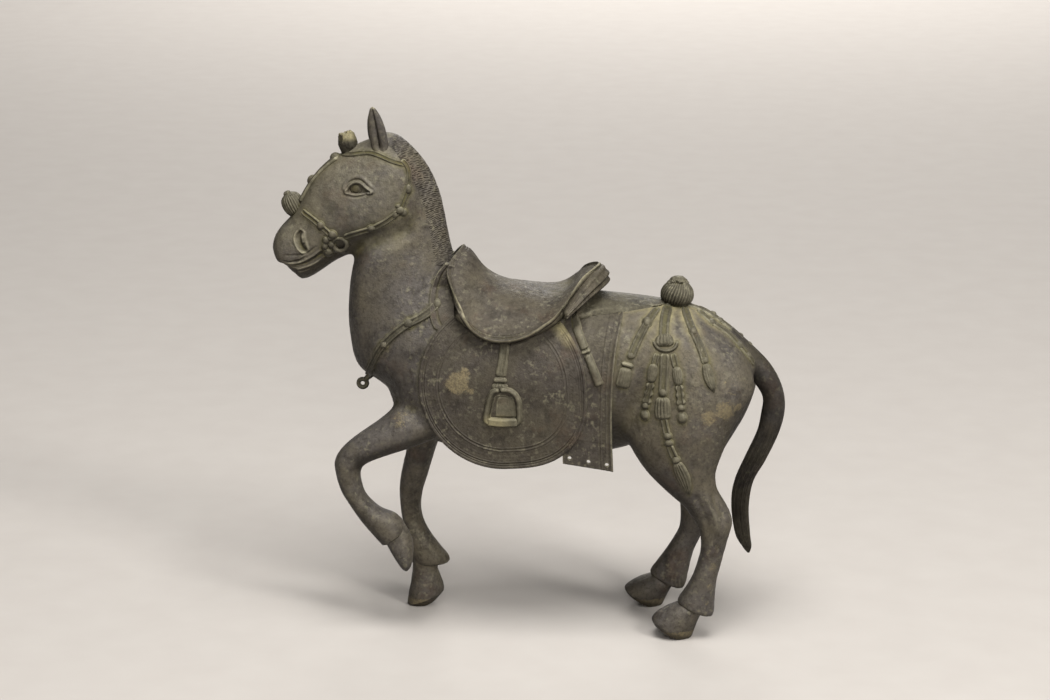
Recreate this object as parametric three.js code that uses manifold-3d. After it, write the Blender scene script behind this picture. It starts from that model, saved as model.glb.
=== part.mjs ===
// A saddled horse, cast in bronze, about 26 cm tall. Millimetres, +Z up.
// The horse looks along -X and its near side, the left one, is at -Y. It stands on three hooves at Z = 0 and
// lifts its near foreleg. Two castings: the horse with its bridle, straps, cloth and stirrups, and the saddle.
import * as THREE from "three";
import { mergeVertices } from "three/addons/utils/BufferGeometryUtils.js";
import Module from "manifold-3d";

const wasm = await Module();
wasm.setup();

// Driving dimensions

const NEAR = -1; // the sides of the horse, as signs of Y
const FAR = 1;
const CLOTH = 1.1; // how far the cloth and the flaps stand out from the body
const HANGING = -0.4; // where the back of a flap is, seen the same way, below the widest part of the belly
const BURIED = 2.2; // how deep a raised detail reaches into the body, so that they are one casting
const STRAP = { width: 4.2, height: 1.1 }; // a harness strap, across and out of the body
const BRIDLE = { width: 3, height: 0.9 };
const STUD = 1.7; // radius of the round studs on the straps
const FLAP = { x: -8.6, z: 130.4, radius: 41.6, top: 163.4 }; // the round mudguard, cut level under the saddle
const HOLE = 0.95; // radius of the lacing holes in the rear flap
const SADDLE_SHEET = 2.2; // thickness of the saddle at its rim
const SADDLE_LIFT = 2.6; // from the bare back to the underside of the saddle: the cloth and a fine gap
const GROUND = 40; // thickness of the block that levels the three resting hooves at Z = 0

// Each row below is one cross-section of a limb, seen from the side: front X and Z, back X and Z,
// then the middle's Y, half the width, and how much fuller the back is than the front.

const TORSO = [
  [-70, 150, -66, 112, 0, 14, 0],
  [-62, 161, -56, 100, 0, 25, 0.05],
  [-48, 168, -45, 93.5, 0, 30, 0.08],
  [-28, 171.5, -28, 90.5, 0, 32.5, 0.08],
  [-5, 171, -5, 89.5, 0, 33.5, 0.05],
  [20, 169.8, 20, 89.8, 0, 33, 0.02],
  [45, 170, 44, 91, 0, 32, 0],
  [68, 169, 64, 98, 0, 31, -0.04],
  [86, 164, 80, 106, 0, 28.5, -0.05],
  [100, 155.5, 93, 112, 0, 24, -0.05],
  [111, 146, 106, 118, 0, 17, 0],
  [116, 138, 113, 126, 0, 8, 0],
];
const NECK = [
  [-46, 98, 4, 165, 0, 28, 0],
  [-63, 108.5, -10, 170, 0, 29.5, 0],
  [-76, 118, -20, 174.5, 0, 28, -0.05],
  [-84, 132, -29, 179.5, 0, 24.5, -0.12],
  [-88, 149, -35, 188, 0, 20.5, -0.18],
  [-88.3, 165, -38, 200, 0, 17.3, -0.22],
  [-86.6, 180, -40.2, 212, 0, 15.2, -0.24],
  [-83, 193, -43, 223, 0, 13.8, -0.24],
  [-79, 206, -48.5, 234.5, 0, 12.6, -0.2],
  [-77, 219, -57, 244.5, 0, 11, -0.1],
  [-77, 230, -65.5, 250, 0, 8.6, 0],
  [-79, 238, -73.5, 249, 0, 5, 0],
];
const HEAD = [
  [-68, 245, -59, 236, 0, 7, 0],
  [-75, 247, -51.5, 223, 0, 11.8, 0.05],
  [-84, 243.6, -54, 209.5, 0, 14, 0.15],
  [-91.5, 239, -61, 200.5, 0, 15.2, 0.2],
  [-98, 234, -71, 194.5, 0, 15.4, 0.18],
  [-104, 228, -81, 190.5, 0, 14.2, 0.05],
  [-109, 220.5, -88.5, 187.8, 0, 12.6, -0.04],
  [-113, 213, -94.5, 184.8, 0, 11.8, -0.05],
  [-117, 207, -100, 181, 0, 11.8, 0],
  [-121.8, 202, -105.5, 177.3, 0, 12.3, 0.02],
  [-125.2, 196.5, -110.5, 175.2, 0, 11.8, 0],
  [-126.2, 191, -114.5, 176.2, 0, 10, 0],
  [-124.6, 186.3, -117.8, 179, 0, 6.6, 0],
];
const RAISED_FORELEG = [
  [-68, 122, -32, 104, -13, 15, 0],
  [-68.5, 113, -42, 99.5, -17, 14, 0],
  [-73, 106.8, -54, 95, -20, 12.4, 0],
  [-80, 102.4, -66, 91, -21.5, 10.6, 0],
  [-86, 97.8, -74.5, 87.8, -22.3, 9.4, 0],
  [-91, 92.6, -79.4, 84.8, -22.8, 8.8, 0],
  [-93.6, 86, -80.6, 81, -23, 8.5, 0],
  [-91, 73.6, -78.8, 72, -23, 7.6, 0],
  [-86.5, 65.3, -75, 66.8, -23, 7.2, 0],
  [-81.3, 57.2, -69.6, 62.8, -23, 7.1, 0],
  [-76, 50.5, -63, 60.6, -23, 7.4, 0],
  [-71.2, 45.4, -59.2, 56, -23, 7.7, 0],
  [-69.6, 43.6, -58.4, 52, -23, 7.2, 0],
];
const RAISED_HOOF = [
  [-69, 47, -58.5, 55, -23, 5.4, 0],
  [-67.2, 43.2, -56.2, 50.8, -23, 6.2, 0],
  [-65, 39.2, -54.6, 46.5, -23, 6.9, 0],
  [-62.4, 35, -54.3, 41, -23, 7, 0],
  [-60, 31.8, -54.8, 35.8, -23, 5.8, 0],
  [-58.2, 30.5, -55.8, 32.4, -23, 3.4, 0],
];
const STANDING_FORELEG = [
  [-68, 118, -28, 104, 14, 15, 0],
  [-65, 100, -40, 95.5, 17.5, 12.6, 0],
  [-62.4, 85, -45.5, 88, 17.5, 10.6, 0],
  [-64, 76, -49, 77.5, 17, 9.2, 0],
  [-65.6, 68, -51.8, 68, 16.5, 8.4, 0],
  [-66.3, 60.5, -53.9, 61.3, 16, 7.7, 0],
  [-65.8, 52.7, -55, 52.6, 15.4, 7, 0],
  [-64.9, 45.5, -53.7, 45, 15, 6.9, 0],
  [-63.4, 38, -50, 37.8, 14.6, 7.4, 0],
  [-61.4, 30, -44.8, 31, 14.2, 8, 0],
  [-60, 24.4, -40.8, 26, 14, 8, 0],
  [-59.7, 22, -40.2, 22.8, 14, 7.4, 0],
];
const STANDING_HOOF = [
  [-60, 26, -47.5, 27, 14, 5.8, 0],
  [-58.6, 20, -46.6, 21, 14, 6.2, 0],
  [-58.4, 17.2, -46.4, 18.6, 14, 7, 0],
  [-60.2, 11, -44.6, 13.6, 14, 8.3, 0],
  [-61.8, 5, -43.6, 10, 14, 9, 0],
  [-62.2, -0.4, -43.8, 6.2, 14, 8.8, 0],
  [-60.8, -2, -45, 4.2, 14, 7.8, 0],
];
const NEAR_HINDLEG = [
  [68, 160, 98, 154, -7, 11, 0],
  [55, 144, 110.5, 142.5, -12.5, 16.6, 0],
  [48.5, 124, 115, 129, -16, 18.5, 0],
  [48.5, 110, 110.5, 119, -18, 17.8, 0],
  [53.8, 98.5, 105.2, 109, -20, 16, 0],
  [62, 86.3, 100, 96.5, -21.5, 13.2, 0],
  [72.5, 76, 96.6, 85, -22.5, 10.6, 0],
  [80.5, 69.2, 96.6, 76, -23, 8.8, 0],
  [85.2, 63.6, 100, 68, -23, 8, 0],
  [89.8, 52, 104.6, 54.5, -23, 7.5, 0],
  [89.6, 45, 102.6, 45.3, -23, 6.9, 0],
  [87.7, 38, 100.8, 36.6, -23, 6.7, 0],
  [85, 30.5, 98.9, 29, -23, 7, 0],
  [79, 20, 97.3, 14.3, -23, 7.8, 0],
  [80, 17.6, 95.6, 11.2, -23, 7.2, 0],
];
const NEAR_HIND_HOOF = [
  [84, 22, 94, 17.5, -23, 5.2, 0],
  [80, 18.6, 91.2, 13.2, -23, 6.4, 0],
  [78, 17.6, 90.4, 11.8, -23, 7.2, 0],
  [73.5, 15.6, 89, 8.6, -23, 8.3, 0],
  [69, 12.8, 87.6, 4.8, -23, 9, 0],
  [66, 9.4, 86, 0.4, -23, 9, 0],
  [66.8, 6.8, 83.5, -2, -23, 7.8, 0],
];
const FAR_HINDLEG = [
  [66, 160, 98, 154, 7, 11, 0],
  [53, 144, 111, 142.5, 12.5, 16.6, 0],
  [47, 124, 116, 128, 16, 18.5, 0],
  [47.5, 110, 114.5, 116, 18, 17.6, 0],
  [52, 98, 110, 103.5, 20, 15.6, 0],
  [59, 86.5, 104.4, 93, 21.5, 12.8, 0],
  [67.5, 76, 98.6, 82, 22.5, 10.4, 0],
  [74, 67, 95.2, 73, 23, 8.8, 0],
  [77.4, 58.5, 94.6, 64, 23, 8, 0],
  [78, 44.5, 91.4, 45.5, 23, 7.2, 0],
  [75.3, 37.5, 88.6, 37, 23, 6.8, 0],
  [70.8, 30, 85, 28.5, 23, 7, 0],
  [63.4, 19, 81.7, 13, 23, 7.8, 0],
  [64.2, 16.4, 79.8, 9, 23, 7.2, 0],
];
const FAR_HIND_HOOF = [
  [68, 20.5, 78, 16, 23, 5.2, 0],
  [64.2, 17, 75.2, 11.4, 23, 6.4, 0],
  [62.4, 16, 74.4, 10.2, 23, 7.2, 0],
  [58, 14.4, 73, 7.6, 23, 8.3, 0],
  [53.6, 12, 71.4, 4.4, 23, 9, 0],
  [50, 9, 69.6, 0.4, 23, 9, 0],
  [50.8, 6.6, 67, -2, 23, 7.8, 0],
];
const TAIL = [
  [103, 155, 97, 145, 0, 5, 0],
  [113.5, 145.6, 108, 134.6, 0, 6.2, 0],
  [122.6, 136, 115.4, 125.6, 0, 6.4, 0],
  [128.4, 125, 118.9, 119, 0, 6.3, 0],
  [130.1, 114, 118.3, 111, 0, 6.4, 0],
  [127.8, 102, 116, 100.6, 0, 6.6, 0],
  [121.6, 87, 110.2, 87, 0, 6.4, 0],
  [115.3, 75, 105.5, 75, 0, 5.9, 0],
  [113.3, 62, 104.1, 63, 0, 5.3, 0],
  [114.2, 48, 106.4, 47.6, 0, 4.3, 0],
  [115.1, 41, 110.2, 40.6, 0, 3, 0],
  [114.2, 37.4, 112.8, 37.4, 0, 1.2, 0],
];

// Rows of numbers made smooth: every column runs through its values as a Catmull-Rom curve.
function smooth(rows, steps) {
  const columns = rows[0].map((_, k) => rows.map((row) => row[k]));
  const curves = columns.map((values) => new THREE.SplineCurve(values.map((v, i) => new THREE.Vector2(i, v))));
  const count = (rows.length - 1) * steps;
  return Array.from({ length: count + 1 }, (_, i) => curves.map((curve) => curve.getPoint(i / count).y));
}

// A closed ring of points for one row: an ellipse through the front and back points of the side view.
// flute is how far every other point steps in, as a share of the size.
function ring([frontX, frontZ, backX, backZ, y, halfWidth, fuller], sides, flute = 0) {
  const centre = new THREE.Vector3((frontX + backX) / 2, y, (frontZ + backZ) / 2);
  const toFront = new THREE.Vector3((frontX - backX) / 2, 0, (frontZ - backZ) / 2);
  return Array.from({ length: sides }, (_, i) => {
    const angle = (2 * Math.PI * i) / sides;
    const size = i % 2 ? 1 - flute : 1;
    const out = Math.sin(angle) * halfWidth * (1 - fuller * Math.cos(angle));
    return centre
      .clone()
      .addScaledVector(toFront, Math.cos(angle) * size)
      .add(new THREE.Vector3(0, out * size, 0));
  });
}

function surface(points, faces) {
  const geometry = new THREE.BufferGeometry().setFromPoints(points);
  geometry.setIndex(faces);
  return geometry;
}

// A closed surface through rings that all have the same number of points, with a fan over each end.
function loft(rings) {
  const sides = rings[0].length;
  const hub = (points) => points.reduce((sum, p) => sum.add(p), new THREE.Vector3()).divideScalar(sides);
  const points = [...rings.flat(), hub(rings[0]), hub(rings.at(-1))];
  const firstHub = points.length - 2;
  const lastHub = points.length - 1;
  const lastRing = (rings.length - 1) * sides;
  const faces = [];
  for (let i = 0; i < sides; i++) {
    const j = (i + 1) % sides;
    for (let r = 0; r < lastRing; r += sides) {
      faces.push(r + i, r + j, r + sides + j);
      faces.push(r + i, r + sides + j, r + sides + i);
    }
    faces.push(firstHub, j, i);
    faces.push(lastHub, lastRing + i, lastRing + j);
  }
  return surface(points, faces);
}

// A ring of rings that closes on itself, such as a torus.
function loop(rings) {
  const sides = rings[0].length;
  const faces = [];
  for (let r = 0; r < rings.length; r++) {
    const next = ((r + 1) % rings.length) * sides;
    for (let i = 0; i < sides; i++) {
      const j = (i + 1) % sides;
      faces.push(r * sides + i, r * sides + j, next + j);
      faces.push(r * sides + i, next + j, next + i);
    }
  }
  return surface(rings.flat(), faces);
}

// A plate between two grids of points that lie over each other, closed round its edge.
function plate(outer, inner) {
  const rows = outer.length;
  const columns = outer[0].length;
  const front = (r, c) => r * columns + c;
  const back = (r, c) => rows * columns + r * columns + c;
  const faces = [];
  for (let r = 0; r < rows - 1; r++) {
    for (let c = 0; c < columns - 1; c++) {
      faces.push(front(r, c), front(r, c + 1), front(r + 1, c + 1));
      faces.push(front(r, c), front(r + 1, c + 1), front(r + 1, c));
      faces.push(back(r, c), back(r + 1, c + 1), back(r, c + 1));
      faces.push(back(r, c), back(r + 1, c), back(r + 1, c + 1));
    }
  }
  const edge = [];
  for (let c = 0; c < columns - 1; c++) edge.push([0, c]);
  for (let r = 0; r < rows - 1; r++) edge.push([r, columns - 1]);
  for (let c = columns - 1; c > 0; c--) edge.push([rows - 1, c]);
  for (let r = rows - 1; r > 0; r--) edge.push([r, 0]);
  edge.forEach((a, i) => {
    const b = edge[(i + 1) % edge.length];
    faces.push(front(...a), back(...a), back(...b));
    faces.push(front(...a), back(...b), front(...b));
  });
  return surface([...outer.flat(), ...inner.flat()], faces);
}

// A three.js geometry as a solid for joining and cutting. A geometry that is inside out is turned round.
function solid(geometry) {
  const bareGeometry = geometry.clone();
  bareGeometry.deleteAttribute("normal");
  bareGeometry.deleteAttribute("uv");
  const merged = mergeVertices(bareGeometry, 1e-4);
  const triVerts = new Uint32Array(merged.index.array);
  const position = merged.attributes.position;
  const [a, b, c] = [0, 1, 2].map(() => new THREE.Vector3());
  let volume = 0;
  for (let i = 0; i < triVerts.length; i += 3) {
    a.fromBufferAttribute(position, triVerts[i]);
    b.fromBufferAttribute(position, triVerts[i + 1]);
    c.fromBufferAttribute(position, triVerts[i + 2]);
    volume += a.dot(b.cross(c));
  }
  if (volume < 0) triVerts.reverse();
  return new wasm.Manifold(new wasm.Mesh({ numProp: 3, vertProperties: position.array, triVerts }));
}

function toGeometry(manifold) {
  const mesh = manifold.getMesh();
  const geometry = new THREE.BufferGeometry();
  geometry.setAttribute("position", new THREE.BufferAttribute(mesh.vertProperties, 3));
  geometry.setIndex(new THREE.BufferAttribute(mesh.triVerts, 1));
  return geometry;
}

const join = (solids) => solids.reduce((all, one) => all.add(one));

function limb(rows, sides, steps = 1, flute = 0) {
  return solid(loft(smooth(rows, steps).map((row) => ring(row, sides, flute))));
}

// The horse without its harness

// A leaf-shaped ear with a hollow that opens outwards.
function ear(side, height) {
  const base = new THREE.Vector3(-71.8, side * 7, 243);
  const tip = new THREE.Vector3(-75.2, side * 9.5, 246 + height);
  const widths = [4.2, 4.9, 4.9, 4, 2.5, 0.7];
  const sides = 8;
  const rings = widths.map((width, k) => {
    const centre = base.clone().lerp(tip, k / (widths.length - 1));
    return Array.from({ length: sides }, (_, i) => {
      const angle = (2 * Math.PI * i) / sides;
      const hollow = k > 0 ? 1.25 * Math.max(0, Math.cos(angle)) ** 2 : 0;
      const out = side * width * 0.62 * (Math.cos(angle) - hollow);
      return new THREE.Vector3(centre.x + width * Math.sin(angle), centre.y + out, centre.z);
    });
  });
  return solid(loft(rings));
}

const bare = join([
  limb(TORSO, 18, 1),
  limb(NECK, 14),
  limb(HEAD, 14),
  limb(RAISED_FORELEG, 10),
  limb(RAISED_HOOF, 8),
  limb(STANDING_FORELEG, 10),
  limb(STANDING_HOOF, 8),
  limb(NEAR_HINDLEG, 10),
  limb(NEAR_HIND_HOOF, 8),
  limb(FAR_HINDLEG, 10),
  limb(FAR_HIND_HOOF, 8),
  limb(TAIL, 12, 1, 0.1),
  ear(NEAR, 18),
  ear(FAR, 14),
]);

// Places on the bare horse. A spot has a point and the direction that the body faces there.

const skin = new THREE.Mesh(toGeometry(bare), new THREE.MeshBasicMaterial({ side: THREE.DoubleSide }));
const line = new THREE.Raycaster();

function touch(from, direction) {
  line.set(from, direction);
  return line.intersectObject(skin)[0]?.point;
}

// The spot that a line meets, with the direction taken from four places round it.
function spot(from, direction, reach = 1.5) {
  const point = touch(from, direction);
  if (!point) throw new Error(`no body at ${from.toArray()}`);
  const across = new THREE.Vector3(0, 1, 0).cross(direction);
  if (across.lengthSq() < 0.01) across.set(1, 0, 0);
  across.normalize();
  const along = across.clone().cross(direction);
  const near = (axis, d) => touch(from.clone().addScaledVector(axis, d), direction) ?? point.clone();
  const normal = near(across, reach)
    .sub(near(across, -reach))
    .cross(near(along, reach).sub(near(along, -reach)));
  if (normal.dot(direction) > 0) normal.negate();
  return { point, normal: normal.normalize() };
}

const fromSide = (side, x, z) => spot(new THREE.Vector3(x, side * 80, z), new THREE.Vector3(0, -side, 0));
const fromAbove = (x, y) => spot(new THREE.Vector3(x, y + 0.07, 300), new THREE.Vector3(0, 0, -1));
const FACE_ON = new THREE.Vector3(0.82, 0, -0.57);
const fromFace = (x, z) => spot(new THREE.Vector3(x, 0.07, z).addScaledVector(FACE_ON, -60), FACE_ON);

// How far out a sheet hangs at a height Z, draped over the body: as far as the body above it reaches.
function drape(side, x, z) {
  let out = 0;
  for (let height = z; height < 172; height += 4) {
    const point = touch(new THREE.Vector3(x, side * 80, height), new THREE.Vector3(0, -side, 0));
    if (point) out = Math.max(out, side * point.y);
  }
  return out;
}

// Straps, studs and tassels

// A raised band through spots: width across it, height out of the body. stops may change both at each spot.
function band(spots, size, { bury = BURIED, lift = 0, round = false, stops = [] } = {}) {
  const rings = spots.map(({ point, normal }, i) => {
    const { width, height } = { ...size, ...stops[i] };
    const before = spots[Math.max(0, i - 1)].point;
    const after = spots[Math.min(spots.length - 1, i + 1)].point;
    const across = after.clone().sub(before).normalize().cross(normal).normalize();
    const top = round ? [[0.5, 0.3], [0, 1], [-0.5, 0.3]] : [[0.42, 1], [-0.42, 1]];
    const profile = [[-0.5, -bury / height], ...[...top].reverse(), [0.5, -bury / height]];
    return profile.map(([u, v]) =>
      point
        .clone()
        .addScaledVector(across, u * width)
        .addScaledVector(normal, lift + v * height),
    );
  });
  return solid(loft(rings));
}

function strap(side, path, size = STRAP, options = {}) {
  return band(path.map(([x, z]) => fromSide(side, x, z)), size, options);
}

// A tassel or pendant: half its width at each stop of its path.
function tassel(side, path, widths, height = 2.2) {
  const stops = widths.map((width) => ({ width, height: Math.max(0.8, Math.min(height, width * 0.5)) }));
  return strap(side, path, {}, { stops, round: true });
}

// A low dome on the body, round or oval.
function dome({ point, normal }, radius, height, sides = 5, lift = 0, wide = radius) {
  const along = new THREE.Vector3(0, 1, 0).cross(normal).normalize();
  const across = normal.clone().cross(along);
  const level = (share, out) =>
    Array.from({ length: sides }, (_, i) => {
      const angle = (2 * Math.PI * (i + 0.5)) / sides;
      return point
        .clone()
        .addScaledVector(along, Math.cos(angle) * wide * share)
        .addScaledVector(across, Math.sin(angle) * radius * share)
        .addScaledVector(normal, out);
    });
  return solid(loft([level(1.1, -BURIED / 2), level(0.55, lift + height)]));
}

const stud = (side, x, z, radius = STUD) => dome(fromSide(side, x, z), radius, radius * 0.95);

// The turn that brings +Z to a direction.
function turnTo(direction) {
  return new THREE.Quaternion().setFromUnitVectors(new THREE.Vector3(0, 0, 1), direction.clone().normalize());
}

// A round bar bent into a ring, in the plane across the direction it faces.
function torus(centre, facing, radius, bar, steps, sides) {
  const turn = turnTo(facing);
  const rings = Array.from({ length: steps }, (_, k) => {
    const angle = (2 * Math.PI * k) / steps;
    return Array.from({ length: sides }, (_, i) => {
      const roll = (2 * Math.PI * i) / sides;
      const reach = radius + bar * Math.cos(roll);
      const local = new THREE.Vector3(reach * Math.cos(angle), reach * Math.sin(angle), bar * Math.sin(roll));
      return local.applyQuaternion(turn).add(centre);
    });
  });
  return solid(loop(rings));
}

// A ribbed jewel turned about its own axis: outline gives radius and height pairs from its foot to its top.
function jewel(foot, axis, outline, sides) {
  const turn = turnTo(axis);
  const rings = outline.map(([radius, height], k) =>
    Array.from({ length: sides }, (_, i) => {
      const angle = (2 * Math.PI * i) / sides + k * 0.12;
      const r = radius * (i % 2 ? 0.9 : 1);
      const local = new THREE.Vector3(r * Math.cos(angle), r * Math.sin(angle), height);
      return local.applyQuaternion(turn).add(foot);
    }),
  );
  return solid(loft(rings));
}

function bridle(side) {
  const jaw = [[-87.6, 200.6], [-75, 204.6], [-67.7, 209], [-60.6, 214.4]];
  const cheek = [...jaw, [-56.8, 224], [-56.4, 231], [-60, 239.4]];
  const brow = [[-60, 239.4], [-68, 238.6], [-76, 242], [-84, 241.2], [-91.4, 237.4]];
  const nose = [[-110.4, 213.6], [-104.5, 210.4], [-99.2, 205.6], [-95.6, 198]];
  const ringCentre = fromSide(side, -92.6, 195.2).point.add(new THREE.Vector3(0, side * 1.2, 0));
  return [
    strap(side, cheek, BRIDLE),
    strap(side, brow, BRIDLE),
    strap(side, nose, BRIDLE),
    stud(side, -61.2, 213.8, 2.4),
    stud(side, -96, 199.4, 2.6),
    stud(side, -97.3, 190.6, 2.2),
    torus(ringCentre, new THREE.Vector3(-0.15, side, -0.2), 5, 1.3, 8, 3),
  ];
}

// The almond of an eye under its heavy lid, and the swelling of a nostril.
function face(side) {
  const lid = [[-88.2, 224.6], [-85.2, 228.8], [-80, 229.6], [-73.6, 223.6]];
  return [
    strap(side, lid, { width: 1.7, height: 1 }),
    dome(fromSide(side, -81.8, 225), 2.4, 0.9, 6, 0, 4.4),
    dome(fromSide(side, -110.4, 196.8), 5, 1, 6, 0, 3),
  ];
}

function breastStrap(side) {
  const path = [[-41.2, 168.4], [-50, 162.4], [-61.7, 153.7], [-68.4, 147], [-73.6, 138.6], [-78, 130.4]];
  return [strap(side, path)];
}

// The straps that hang over the croup, with their buckles, bell and tassels.
function croupStraps(side) {
  const front = [[66.4, 166.8], [60.6, 160.2], [54.6, 149.6], [52.4, 144]];
  const rear = [[81, 163], [85.8, 155], [90.4, 144.6], [91.8, 140.6]];
  const crupper = [[83, 164.6], [92.2, 158.6], [103.8, 149.6], [112.4, 140]];
  const strand = { width: 3.4, height: 1.3 };
  return [
    strap(side, front),
    strap(side, [[53.9, 147.2], [52.2, 143.4]], { width: 5.8, height: 2 }),
    tassel(side, [[51.8, 142.4], [49.9, 136.6], [49, 131]], [3.6, 5.6, 3.6]),
    strap(side, [[72.6, 165], [71.2, 158], [70.6, 152]], { width: 3.4, height: 1 }),
    tassel(side, [[70.7, 156.4], [70.5, 150.8], [70.5, 147.6]], [6, 13, 7], 2.8),
    strap(side, [[70, 148], [69.8, 138], [70, 127]], { width: 3.4, height: 1 }),
    tassel(side, [[70, 130], [70.2, 121], [70.4, 116]], [3.8, 6.6, 7.2], 2.6),
    strap(side, [[71, 117], [74, 105.6], [77.6, 94.6]], strand),
    tassel(side, [[77.4, 96], [79.6, 89.6], [83, 78]], [4, 6.6, 2.4], 2.6),
    strap(side, [[66.6, 147.7], [64.4, 136], [61.4, 120], [61.2, 115.6]], strand),
    strap(side, [[74, 147.7], [77.1, 136], [79.5, 120], [80, 116]], strand),
    strap(side, rear),
    tassel(side, [[91.4, 142], [93.2, 136.4], [95.4, 129.8]], [4, 5.6, 2], 2.4),
    strap(side, crupper, { width: 4.4, height: 1.2 }),
  ];
}

// The cloth and the flaps

// The outer and the inner face of a sheet at one place: the inner one is buried where the sheet lies on the body.
function outside(side, x, z, lift) {
  return new THREE.Vector3(x, side * (drape(side, x, z) + lift), z);
}

function underside(side, x, z) {
  const out = drape(side, x, z);
  const body = touch(new THREE.Vector3(x, side * 80, z), new THREE.Vector3(0, -side, 0));
  const lies = body && out - side * body.y < 0.4;
  return new THREE.Vector3(x, side * (out + (lies ? -BURIED : HANGING)), z);
}

// A sheet draped over one side. The grid's points give X, Z and how far the sheet stands out there.
function draped(side, grid) {
  const outer = grid.map((row) => row.map(([x, z, lift]) => outside(side, x, z, lift)));
  const inner = grid.map((row) => row.map(([x, z]) => underside(side, x, z)));
  return solid(plate(outer, inner));
}

// The round flap, with a raised rim.
function roundFlap(side) {
  const steps = 22;
  const circle = (share) =>
    Array.from({ length: steps }, (_, i) => {
      const angle = (2 * Math.PI * (i + 0.5)) / steps;
      const x = FLAP.x + FLAP.radius * share * Math.sin(angle);
      const z = Math.min(FLAP.top, FLAP.z + FLAP.radius * share * Math.cos(angle));
      return [x, z];
    });
  const profile = [[0.5, CLOTH + 0.6], [0.91, CLOTH + 0.7], [0.925, CLOTH + 1.2], [1, CLOTH + 1.1]];
  const front = profile.map(([share, lift]) => circle(share).map(([x, z]) => outside(side, x, z, lift)));
  const back = [1, 0.5].map((share) => circle(share).map(([x, z]) => underside(side, x, z)));
  return solid(loft([...front, ...back]));
}

// The square flap behind it: raised border at the rear, and three holes along its lower edge.
function rearFlap(side) {
  const rows = [[46.5, 88.4], [46.2, 100], [45.5, 112], [45.5, 126], [46, 142], [47.2, 154], [49, 163.8]];
  const grid = rows.map(([rear, z], k) => {
    const front = k === 0 ? 21.6 : 21;
    const low = k === 0 ? 3.6 : 0;
    return [
      [front, z + low, CLOTH - 0.3],
      [rear - 5, z + low * 0.15, CLOTH - 0.3],
      [rear - 4.4, z + low * 0.13, CLOTH + 0.2],
      [rear, z, CLOTH + 0.2],
    ];
  });
  const holes = [[24.9, 95], [34.2, 93.2], [43.2, 91.8]].map(([x, z]) => {
    const out = drape(side, x, z);
    const circle = (y) =>
      Array.from({ length: 8 }, (_, i) => {
        const angle = (Math.PI * i) / 4;
        return new THREE.Vector3(x + HOLE * Math.cos(angle), side * y, z + HOLE * Math.sin(angle));
      });
    return solid(loft([circle(out - 3), circle(out + 3)]));
  });
  return { sheet: draped(side, grid), holes };
}

// The edge of the cloth that shows in front of the saddle.
function frontCloth(side) {
  const rows = [
    [-38.4, 187.4, -34, 186],
    [-43.4, 179, -33.6, 177.6],
    [-46, 167, -32.6, 167],
    [-43.4, 159, -30, 160.6],
    [-37, 156.4, -28, 157.6],
  ];
  const grid = rows.map(([x, z, backX, backZ]) =>
    [0, 0.5, 1].map((t) => [x + (backX - x) * t, z + (backZ - z) * t, CLOTH + 0.1]),
  );
  return draped(side, grid);
}

// The pad on the spine behind the saddle, under the crupper.
function spinePad() {
  const widths = [[30, 14.4], [40, 14.6], [50, 13.8], [60, 10.8], [68.4, 4]];
  const shares = [-1, -0.55, 0, 0.55, 1];
  const at = (x, y, lift) => fromAbove(x, y).point.add(new THREE.Vector3(0, 0, lift));
  const outer = widths.map(([x, w]) => shares.map((s) => at(x, w * s, 1.3 + 1.2 * (1 - Math.abs(s)))));
  const inner = widths.map(([x, w]) => shares.map((s) => at(x, w * s, -BURIED)));
  return solid(plate(outer, inner));
}

// A stirrup hanging by its leather on the round flap.
function stirrup(side) {
  const flat = (x, z) => ({
    point: new THREE.Vector3(x, side * drape(side, x, z), z),
    normal: new THREE.Vector3(0, side, 0),
  });
  const bar = (points, width, height) =>
    band(points.map(([x, z]) => flat(x, z)), { width, height }, { bury: 1.2, lift: CLOTH + 0.5 });
  return [
    bar([[-6.4, 155], [-7.4, 145], [-8.8, 134.6]], 5, 1),
    bar([[-8.8, 135.4], [-9.2, 129.6]], 6.8, 2),
    bar([[-9.2, 130.2], [-13.6, 125.6], [-15.8, 114]], 2.6, 2.2),
    bar([[-9.2, 130.2], [-2.4, 125.6], [0, 114]], 2.6, 2.2),
    bar([[-17.6, 112.6], [1.6, 112.2]], 3.6, 2.8),
  ];
}

// The leather strap with a joint that lies on the rear flap.
function billet(side) {
  const path = [[24.9, 160.4], [32.2, 147.6], [38.8, 132]];
  return [strap(side, path, { width: 4.2, height: 1.5 }, { lift: CLOTH - 0.3 })];
}

// The ornaments on the middle line

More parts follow.
